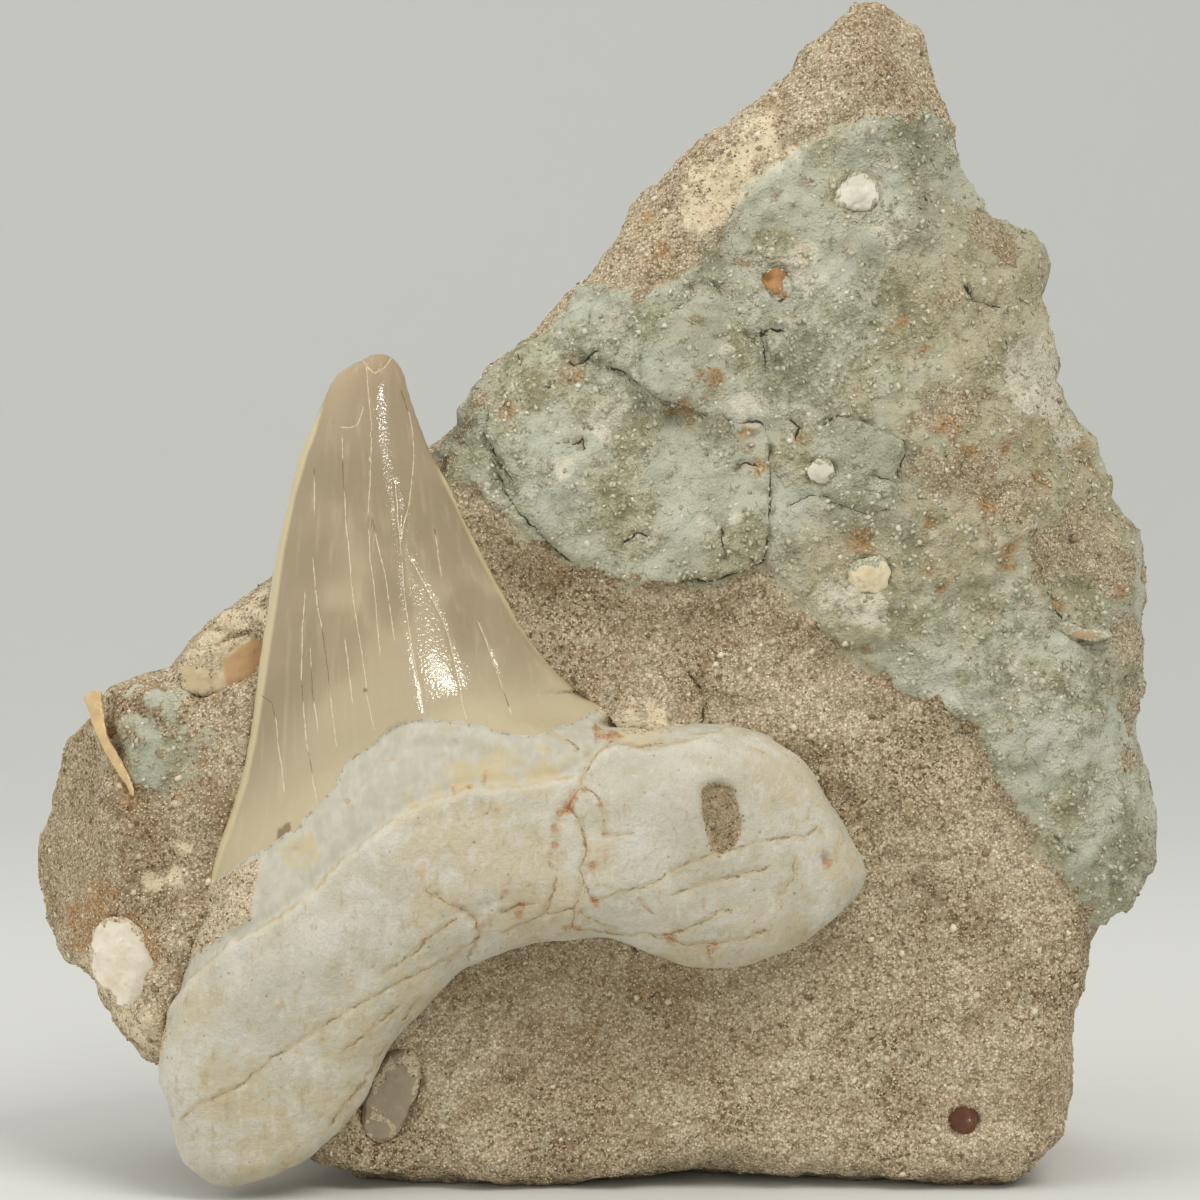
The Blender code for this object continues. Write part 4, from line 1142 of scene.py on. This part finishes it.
def crown_formed(mesh, solid):
    """The tooth's mesh with a smooth crown base, edges out at the solid's, and a fuller crown."""
    base = below_line(view.pixels(points_of(mesh)), ENAMEL_EDGE)
    mesh = smoothed(mesh, step(base, -1.5, 1.0) * (1 - step(base, 9.0, 14.0)), CROWN_BASE_PASSES)
    points = points_of(mesh)
    for side, foot in CROWN_FEET.items():
        draw_out(points, points_of(solid), side, view.at_depth(*foot, stone_face)[2])
    belly = ridge(view.pixels(points)[:, 1], CROWN_BELLY, CROWN_BELLY_REACH) * step(base, -3.0, 2.0)
    points[:, 1] -= CROWN_FULLNESS * belly * step(-directions_of(mesh)[:, 1], 0.0, 0.5)
    move_points(mesh, points)
    return mesh


def make_tooth():
    """The tooth with its enamel step, band ledge, cracks, pits and pores."""
    solid = rounded("shark_tooth")
    mesh = crown_formed(remeshed(solid.copy(), TOOTH_VOXEL, 9, "tooth"), solid)
    places = view.pixels(points_of(mesh))
    facing = -directions_of(mesh)[:, 1]
    near, _ = line_fields(places, ROOT_CRACKS + ENAMEL_CRACKS)
    ledge, _ = line_fields(places, [ENAMEL_EDGE, BAND_EDGE])
    divided(mesh, (facing > -0.1) & ((near < 0.45) | (ledge < 0.3)))

    points, outward = points_of(mesh), directions_of(mesh)
    places = view.pixels(points)
    front = step(-outward[:, 1], -0.15, 0.25)
    hidden = TURNED_AWAY * (1 - front)
    over_enamel = below_line(places, ENAMEL_EDGE)
    over_band = below_line(shaken(places, points, 64, 2.6), BAND_EDGE)
    on_root = step(over_enamel, 0.05, -0.2)
    crack_near, crack_side = line_fields(shaken(places, points, 61, 2.2), ROOT_CRACKS)
    split_near, split_side = line_fields(places, ENAMEL_CRACKS)
    crack_near, split_near = crack_near + hidden, split_near + hidden
    pit = inside_of(places, SAND_PIT) * front - hidden
    crust = np.maximum(inside_of(places, SAND_CRUST), inside_of(places, SAND_STRIP))
    crust = crust * front - hidden

    lift = on_root * waves(points, ROOT_SURFACE)
    lift *= 1 - 0.6 * step(over_band, -0.2, 0.3) * on_root
    lift += front * on_root * BAND_LIP_HEIGHT * ridge(over_band, -0.8, 0.9)
    lift -= front * on_root * BAND_GROOVE * ridge(over_band, 0.35, 0.5)
    lift -= front * ENAMEL_STEP * ridge(over_enamel, -0.22, 0.22)
    lift += (1 - on_root) * waves(points, CROWN_SURFACE)
    lift -= on_root * front * ROOT_CRACK_DEPTH * ridge(crack_near, 0, 0.2)
    lift -= (1 - on_root) * front * SPLIT_DEPTH * ridge(split_near, 0, 0.14)
    lift -= front * PIT_DEPTH * step(pit, -0.3, 0.6)
    lift += front * CRUST_HEIGHT * step(crust, -0.3, 0.8)
    lift -= front * heights(places, ROOT_PITS)
    lift -= on_root * PORE_DEPTH * step(rough(points, 0.75, 25), 0.35, 0.6)
    move_points(mesh, points + outward * lift[:, None])

    rim, _ = line_fields(places, CROWN_EDGES)
    rim_top = np.where(places[:, 0] < CROWN_MIDDLE, *RIM_TOPS)
    store(mesh, {
        "enamel": over_enamel, "band": over_band, "crack_near": crack_near,
        "crack_side": crack_side, "split_near": split_near, "split_side": split_side,
        "rim": rim + step(rim_top - places[:, 1], -40, 40), "sand_fill": np.maximum(pit, crust),
        "grains": step(crust, 0.0, 0.3), "pit_grains": step(pit, 0.0, 0.2),
        "deep": rough(points * (1, 1, 0.35), 5.5, 28),
    })
    stains = {
        "rust": ROOT_RUST, "warm": ROOT_WARM, "grey": ROOT_GREY, "cool": ENAMEL_GREY,
        "stain": ENAMEL_DARK, "sheen": ENAMEL_SHEEN,
    }
    store(mesh, {name: spots(places, table) * front for name, table in stains.items()})
    store(mesh, {name: waves(points, table) for name, table in TOOTH_PATTERNS.items()})
    mesh.materials.append(tooth_finish())
    return finished(mesh, "fossil_tooth", ["shark_tooth"])


def make_stone(tooth):
    """The stone: its broken back and sides, its sand face and the marl, closed on the tooth."""
    mesh = remeshed(rounded("stone"), STONE_VOXEL, 2, "stone")
    points, outward = points_of(mesh), directions_of(mesh)
    tooth_tree = tree_of(tooth.data)
    shown = (outward[:, 1] < 0.2) & (points[:, 1] < face_depth(points[:, 2]) + 4)
    gap = nearest(points, tooth_tree, TOOTH_REACH)[0]
    divided(mesh, shown & (gap > 0.75))
    places = view.pixels(points_of(mesh))
    facing = -directions_of(mesh)[:, 1]
    near, _ = line_fields(places, MARL_CRACKS)
    divided(mesh, (facing > 0.2) & (near < 0.4))

    points, outward = points_of(mesh), directions_of(mesh)
    places = view.pixels(points)
    front = step(-outward[:, 1], 0.0, 0.45)
    crack_near, crack_side = line_fields(shaken(places, points, 67, 2.8), MARL_CRACKS)
    crack_near = crack_near + TURNED_AWAY * (1 - front)
    depth = points[:, 1] - face_depth(points[:, 2])
    marl = inside_of(places, MARL_REGION) - 1.6 * np.maximum(depth - 3.5, 0)
    remains = 2.4 * rough(points, 15, 31) - 1.35 - 4 * front
    patches = spots(places, MARL_PATCHES) * front * 2.2 - 1.3
    marl = np.maximum(np.maximum(marl, remains), patches)
    sandy = spots(places, SAND_PATCHES) * front
    gap, nearest_point = nearest(points, tooth_tree, TOOTH_REACH)
    clear = step(gap, 0.5, 1.6)

    in_marl = step(marl, -0.3, 0.6)
    lift = clear * waves(points, STONE_SURFACE)
    lift += clear * (1 - in_marl) * 0.2 * rough(points, 0.9, 34)
    marl_rows = np.nonzero(in_marl > 0.01)[0]
    chosen = points[marl_rows]
    chips = np.zeros(len(points))
    chips[marl_rows] = 0.7 * np.minimum(chipped(chosen, 5.0, 35), 0.5)
    chips[marl_rows] += 0.7 * np.minimum(chipped(chosen, 2.1, 36), 0.45)
    chips[marl_rows] += 0.3 * rough(chosen, 1.0, 37)
    lift += clear * in_marl * (chips - 0.25)
    lift += front * clear * (heights(places, FACE_LUMPS) + steps(places, STEPS))
    lift += front * clear * MARL_LIP * ridge(marl, 0.7, 0.8)
    lift -= front * clear * MARL_GROOVE * ridge(marl, -0.5, 0.6)
    lift -= front * clear * MARL_CRACK_DEPTH * ridge(crack_near, 0, 0.22)
    moved = points + outward * lift[:, None]
    pull = 1 - step(gap, 0.9, 1.9)
    moved += (nearest_point - points) * (pull * (1 + 0.06 / np.maximum(gap, 0.06)))[:, None]
    move_points(mesh, moved)

    patterns = {name: waves(points, table) for name, table in STONE_PATTERNS.items()}
    # Stains, and the painted shade of the dark spots and of the rust spots beside the amber blade
    stains = {"pale": PALE_SPOTS, "rust": RUST_AND_SHADOW_SPOTS, "shade_and_dark_stone": SHADE_AND_DARK_SPOTS, "dry": DRY_SPOTS}
    loose = step(points[:, 2], 0.6, 1.2) * step(gap, 0.25, 0.5)
    to_viewer = step(-outward[:, 1], 0.1, 0.4)
    sand = np.maximum(1 - step(marl, -0.6, 0.3), step(sandy, 0.35, 0.6))
    crumbly = 1 - 0.7 * step(patterns["middling"], -0.05, 0.35)
    store(mesh, patterns)
    store(mesh, {name: spots(places, table) * front for name, table in stains.items()})
    store(mesh, {
        "marl": marl, "sandy": sandy, "crack_near": crack_near, "crack_side": crack_side,
        "face_sand": to_viewer * loose * sand,
        "side_sand": (1 - to_viewer) * loose * (0.3 + 0.7 * sand),
        "face_marl": to_viewer * loose * (1 - sand) * crumbly,
    })
    mesh.materials.append(stone_finish())
    return finished(mesh, "sand_rock", ["stone"])


def make_chunk(name, outline, proud, deep, material, slot, patch=None, lean=0.0, clinging=0.8):
    """A flat-faced fragment: an outline of the photo, set into the stone and worn.

    It stands proud of the stone and goes deep into it by those millimetres, and leans so much
    towards the viewer for each millimetre to the right.
    """
    hits = [view.hit(stone_tree, x, y) for x, y in outline]
    level = np.median([hit[1] for hit in hits if hit is not None])
    middle = np.mean(outline, axis=0)
    shape = bmesh.new()
    front, back = [], []
    for x, y in outline:
        near = view.at_depth(x, y, level - proud + lean * (x - middle[0]) * PIXEL)
        inward = (np.array([x, y]) - middle) * CHUNK_TAPER + middle
        far = view.at_depth(*inward, level + deep)
        front.append(shape.verts.new(Vector(near * MM)))
        back.append(shape.verts.new(Vector(far * MM)))
    shape.faces.new(front)
    shape.faces.new(back[::-1])
    for k in range(len(front)):
        after = (k + 1) % len(front)
        shape.faces.new((front[after], front[k], back[k], back[after]))
    bmesh.ops.recalc_face_normals(shape, faces=shape.faces)
    mesh = bpy.data.meshes.new(name)
    shape.to_mesh(mesh)
    shape.free()
    mesh = remeshed(mesh, CHUNK_VOXEL, 4, name)
    points, outward = points_of(mesh), directions_of(mesh)
    move_points(mesh, points + outward * waves(points, CHUNK_SURFACE)[:, None])
    places = view.pixels(points)
    inside = inside_of(places, outline) + waves(points, CHUNK_BORDER)
    covered = clinging * (1 - step(inside, 0.1, 0.7))
    if patch:
        in_patch = inside_of(places, patch)
        store(mesh, {"patch": in_patch})
        strewn = step(0.45 + waves(points, CHUNK_STREWN), 0.2, 0.7)
        covered = np.maximum(covered, strewn * (1 - step(in_patch, -0.3, 0.2)))
    store(mesh, {"covered": covered * step(-outward[:, 1], -0.2, 0.2)})
    mesh.materials.append(material)
    return finished(mesh, name + "_surface", [name])


def make_pebble(
    node, material, slot, seed, grow=0.45, unevenness=0.5, flatten=0.3, clinging=1.0,
):
    """A pebble grown into its pocket, with broken flats, and worn down to the stone's face."""
    mesh = remeshed(rounded(node), PEBBLE_VOXEL, 3, node)
    points, outward = points_of(mesh), directions_of(mesh)
    uneven = waves(points, [(1.0, 1.3, seed), (0.4, 0.45, seed + 1)])
    uneven -= np.minimum(chipped(points, 1.5, seed + 2), 0.5)
    points = points + outward * (grow + unevenness * uneven)[:, None]
    low, high = points.min(axis=0), points.max(axis=0)
    middle, half = (low + high) / 2, (high - low) / 2
    levels = []
    for angle in np.linspace(0, 2 * math.pi, PEBBLE_FEELERS, endpoint=False):
        around = middle + (half + PEBBLE_MARGIN) * (math.cos(angle), 0, math.sin(angle))
        around[1] = low[1] - FEELER_START
        hit = stone_tree.ray_cast(Vector(around), Vector((0, 1, 0)))[0]
        if hit is not None:
            levels.append(hit.y)
    depth = points[:, 1] - (np.median(levels) - PEBBLE_PROUD)
    points[:, 1] += np.where(depth < 0, (flatten - 1) * depth, 0)
    move_points(mesh, points)
    reach = np.hypot(*((points - middle) / half)[:, [0, 2]].T)
    reach += waves(points, [(1.1, 1.9, seed + 3), (0.5, 0.7, seed + 4)])
    store(mesh, {"covered": clinging * step(reach, 0.6, 1.0)})
    mesh.materials.append(material)
    return finished(mesh, node + "_surface", [node])


def scatter_tree(name, material):
    """A tree that strews small uneven stones where a field on the surface says."""
    tree = bpy.data.node_groups.new(name, "GeometryNodeTree")
    sockets = [
        ("Geometry", "NodeSocketGeometry"), ("Where", "NodeSocketFloat"),
        ("Per square metre", "NodeSocketFloat"), ("Smallest", "NodeSocketFloat"),
        ("Largest", "NodeSocketFloat"), ("Flatness", "NodeSocketFloat"),
        ("Seed", "NodeSocketInt"),
    ]
    for label, kind in sockets:
        tree.interface.new_socket(label, in_out="INPUT", socket_type=kind)
    tree.interface.new_socket("Geometry", in_out="OUTPUT", socket_type="NodeSocketGeometry")
    maker = Maker(tree)
    given = {label: maker.node("NodeGroupInput", output=label) for label, _ in sockets}
    spread = maker.node(
        "GeometryNodeDistributePointsOnFaces", {"distribute_method": "RANDOM"},
        {"Mesh": given["Geometry"], "Density": given["Where"] * given["Per square metre"],
         "Seed": given["Seed"]},
    )
    facing = Value(maker, spread.socket.node.outputs["Rotation"])
    size = maker.random("FLOAT", given["Smallest"], given["Largest"], 3)
    squash = maker.random("FLOAT_VECTOR", (0.7, 0.6, 0.55), (1.25, 1.0, 0.85), 4)
    thin = maker.node("ShaderNodeCombineXYZ", {}, {"X": 1.0, "Y": 1.0, "Z": given["Flatness"]})
    scale = maker.vector("MULTIPLY", maker.vector("SCALE", squash, size), thin)
    turn = maker.random("FLOAT_VECTOR", (-0.7, -0.7, 0.0), (0.7, 0.7, 6.28), 5)
    rotation = maker.node(
        "FunctionNodeRotateRotation", {"rotation_space": "LOCAL"},
        {"Rotation": facing, "Rotate By": turn},
    )
    grain = maker.node("GeometryNodeMeshUVSphere", {}, {"Segments": 5, "Rings": 2, "Radius": 1.0})
    strewn = maker.node(
        "GeometryNodeInstanceOnPoints", {},
        {"Points": spread, "Instance": grain, "Rotation": rotation, "Scale": scale},
    )
    strewn = maker.node(
        "GeometryNodeStoreNamedAttribute", {"data_type": "FLOAT", "domain": "INSTANCE"},
        {"Geometry": strewn, "Name": "tone", "Value": maker.random("FLOAT", 0.0, 1.0, 6)},
    )
    real = maker.node("GeometryNodeRealizeInstances", {}, {"Geometry": strewn})
    wobble = maker.node("ShaderNodeTexNoise", {}, {"Scale": 2600.0, "Detail": 1.0}, "Color")
    wobble = maker.vector("SUBTRACT", wobble, (0.5, 0.5, 0.5))
    wobble = maker.vector("SCALE", wobble, given["Largest"] * 0.9)
    real = maker.node("GeometryNodeSetPosition", {}, {"Geometry": real, "Offset": wobble})
    real = maker.node("GeometryNodeSetMaterial", {}, {"Geometry": real, "Material": material})
    maker.node("NodeGroupOutput", {}, {"Geometry": real})
    return tree


def scattered(name, source, where, tree, per_mm2, sizes, seed, flatness=1.0):
    """One piece of strewn grains on a copy of a surface."""
    carrier = link(source.data.copy(), name)
    strew = carrier.modifiers.new("Strew", "NODES")
    strew.node_group = tree
    values = {
        "Per square metre": per_mm2 / MM**2, "Smallest": sizes[0] * MM / 2,
        "Largest": sizes[1] * MM / 2, "Flatness": flatness, "Seed": seed,
    }
    for item in tree.interface.items_tree:
        if item.in_out == "INPUT" and item.name in values:
            strew[item.identifier] = values[item.name]
        if item.in_out == "INPUT" and item.name == "Where":
            strew[item.identifier + "_use_attribute"] = True
            strew[item.identifier + "_attribute_name"] = where
    bpy.context.view_layer.update()
    mesh = plain_mesh(carrier, name)
    move_points(mesh, points_of(mesh))
    return finished(mesh, name, [])


def make_studio():
    """A pale sweep under and behind the stone, soft lamps and the photo's camera."""
    profile = [(SWEEP_FRONT, 0.0), (SWEEP_BEND, 0.0)]
    for turn in range(1, BEND_STEPS + 1):
        angle = math.radians(90 * turn / BEND_STEPS)
        back, up = SWEEP_RADIUS * math.sin(angle), SWEEP_RADIUS * (1 - math.cos(angle))
        profile.append((SWEEP_BEND + back, up))
    profile.append((SWEEP_BEND + SWEEP_RADIUS, SWEEP_HEIGHT))
    shape = bmesh.new()
    sides = (-SWEEP_HALF_WIDTH, SWEEP_HALF_WIDTH)
    left, right = [[shape.verts.new((x, y, z)) for y, z in profile] for x in sides]
    for k in range(len(profile) - 1):
        shape.faces.new((left[k], right[k], right[k + 1], left[k + 1]))
    mesh = bpy.data.meshes.new("sweep")
    shape.to_mesh(mesh)
    shape.free()
    mesh.shade_smooth()
    mesh.materials.append(studio_finish())
    link(mesh, "sweep")

    for name, place, (width, height), power, colour, mirrored in LAMPS:
        lamp = bpy.data.lights.new(name, "AREA")
        lamp.shape = "RECTANGLE"
        lamp.size = width
        lamp.size_y = height
        lamp.energy = power
        lamp.color = colour
        made = bpy.data.objects.new(name, lamp)
        made.location = place
        aim = Vector(LAMP_AIM) - Vector(place)
        made.rotation_euler = aim.to_track_quat("-Z", "Y").to_euler()
        made.visible_glossy = mirrored
        made.visible_diffuse = not mirrored
        bpy.context.scene.collection.objects.link(made)
    world = bpy.data.worlds.new("studio")
    world.use_nodes = True
    background = world.node_tree.nodes["Background"]
    background.inputs["Color"].default_value = ROOM_COLOUR
    background.inputs["Strength"].default_value = ROOM_LIGHT
    bpy.context.scene.world = world
    bpy.context.scene.view_settings.view_transform = "Standard"

    camera = bpy.data.cameras.new("photo_camera")
    camera.sensor_width = SENSOR
    camera.lens = SENSOR * CAMERA_DISTANCE / PHOTO_WIDTH
    camera.clip_end = 20
    made = bpy.data.objects.new("photo_camera", camera)
    made.location = Vector(view.eye * MM)
    made.rotation_euler = Vector(view.forward).to_track_quat("-Z", "Y").to_euler()
    bpy.context.scene.collection.objects.link(made)
    bpy.context.scene.camera = made


make_studio()
tooth = make_tooth()
stone = make_stone(tooth)
stone_tree = tree_of(stone.data)

# Finishes of the fragments: name, pale tone, deep tone, stain, roughness, what else there is
finishes = {}
for name, pale, deep, stain, roughness, others in [
    ("cream_bone", (218, 202, 168), (198, 178, 138), (168, 146, 106), 0.8, {"patch": PEACH}),
    ("white_bone", (231, 222, 203), (219, 206, 183), (204, 176, 138), 0.8, {}),
    ("amber_enamel", (222, 192, 136), (200, 168, 122), (164, 132, 94), 0.16, {"coat": 0.4}),
    ("old_shell", (194, 172, 134), (170, 142, 102), (142, 108, 68), 0.6, IN_MARL),
    ("cream_stone", (220, 206, 172), (204, 186, 148), (182, 158, 116), 0.75, IN_MARL),
    ("chalk", (226, 220, 203), (208, 201, 180), (190, 182, 156), 0.8, IN_MARL),
    ("rusty_crystal", (190, 144, 90), (130, 86, 44), (92, 60, 32), 0.5, {"coat": 0.2, **IN_MARL}),
    ("brown_pellet", (118, 66, 36), (84, 44, 24), (58, 32, 20), 0.45,
     {"coat": 0.2, "cover": DARK_AND_SHADED_SAND_TONES}),
    ("grey_clast", (166, 150, 124), (152, 137, 112), (136, 121, 97), 0.55, {}),
]:
    tones = srgb(*pale), srgb(*deep), srgb(*stain)
    finishes[name] = fragment_finish(name, *tones, roughness, **others)

pieces = {"stone": stone, "tooth": tooth}
# Flat fragments: node, outline, how far proud and how deep, finish, slot, what else there is
for node, outline, proud, deep, finish, slot, others in [
    ("cream_bone", CREAM_BONE, 0.1, 3.0, "cream_bone", "bone", {"patch": PEACH_PATCH}),
    ("white_bone", WHITE_BONE, 0.15, 3.0, "white_bone", "bone", {"lean": -0.3}),
    ("amber_blade", AMBER_BLADE, 0.9, 3.0, "amber_enamel", "enamel", {"lean": -0.3, "clinging": 0}),
    ("shell_sliver", SHELL_SLIVER, 0.5, 2.0, "old_shell", "shell", {"clinging": 0.6}),
]:
    pieces[node] = make_chunk(node, outline, proud, deep, finishes[finish], slot, **others)

# Round fragments: node, finish, slot, seed, what else there is
smooth_pellet = {"grow": 0.35, "unevenness": 0.15, "flatten": 0.6, "clinging": 0.0}
for node, finish, slot, seed, others in [
    ("cream_pebble", "cream_stone", "pebble", 51, {}),
    ("white_pebble", "chalk", "pebble", 54, {}),
    ("chalk_pebble", "chalk", "pebble", 57, {}),
    ("rust_nodule", "rusty_crystal", "nodule", 60, {}),
    ("brown_pellet", "brown_pellet", "nodule", 63, smooth_pellet),
    ("grey_clast", "grey_clast", "clast", 66, {"unevenness": 0.2, "flatten": 0.12}),
]:
    pieces[node] = make_pebble(node, finishes[finish], slot, seed, **others)

sand_tree = scatter_tree("sand_scatter", grain_finish("sand_grains", GRAIN_TONES))
pit_tree = scatter_tree("pit_scatter", grain_finish("shaded_pit_sand", DARK_AND_SHADED_SAND_TONES))
marl_tree = scatter_tree("marl_scatter", grain_finish("marl_chips", CHIP_TONES))
# Grains: piece, whose surface, the field that says where, the tree, how many in a square
# millimetre, smallest and largest, seed, flatness
for name, surface, where, tree, per_mm2, sizes, seed, flatness in [
    ("face_grains_a", "stone", "face_sand", sand_tree, 3.1, (0.14, 0.34), 11, 1.0),
    ("face_grains_b", "stone", "face_sand", sand_tree, 3.1, (0.12, 0.28), 12, 1.0),
    ("face_grains_c", "stone", "face_sand", sand_tree, 3.1, (0.12, 0.26), 17, 1.0),
    ("coarse_grains", "stone", "face_sand", sand_tree, 0.10, (0.5, 1.0), 13, 0.8),
    ("side_grains", "stone", "side_sand", sand_tree, 0.8, (0.22, 0.55), 14, 1.0),
    ("crust_grains", "tooth", "grains", sand_tree, 14.0, (0.14, 0.38), 15, 1.0),
    ("cream_bone_grains", "cream_bone", "covered", sand_tree, 8.0, (0.14, 0.34), 18, 1.0),
    ("white_bone_grains", "white_bone", "covered", sand_tree, 8.0, (0.14, 0.34), 19, 1.0),
    ("clast_grains", "grey_clast", "covered", sand_tree, 9.0, (0.14, 0.36), 20, 1.0),
    ("pit_grains", "tooth", "pit_grains", pit_tree, 9.0, (0.14, 0.34), 21, 1.0),
    ("marl_chips", "stone", "face_marl", marl_tree, 2.0, (0.16, 0.8), 16, 0.4),
]:
    scattered(name, pieces[surface], where, tree, per_mm2, sizes, seed, flatness)
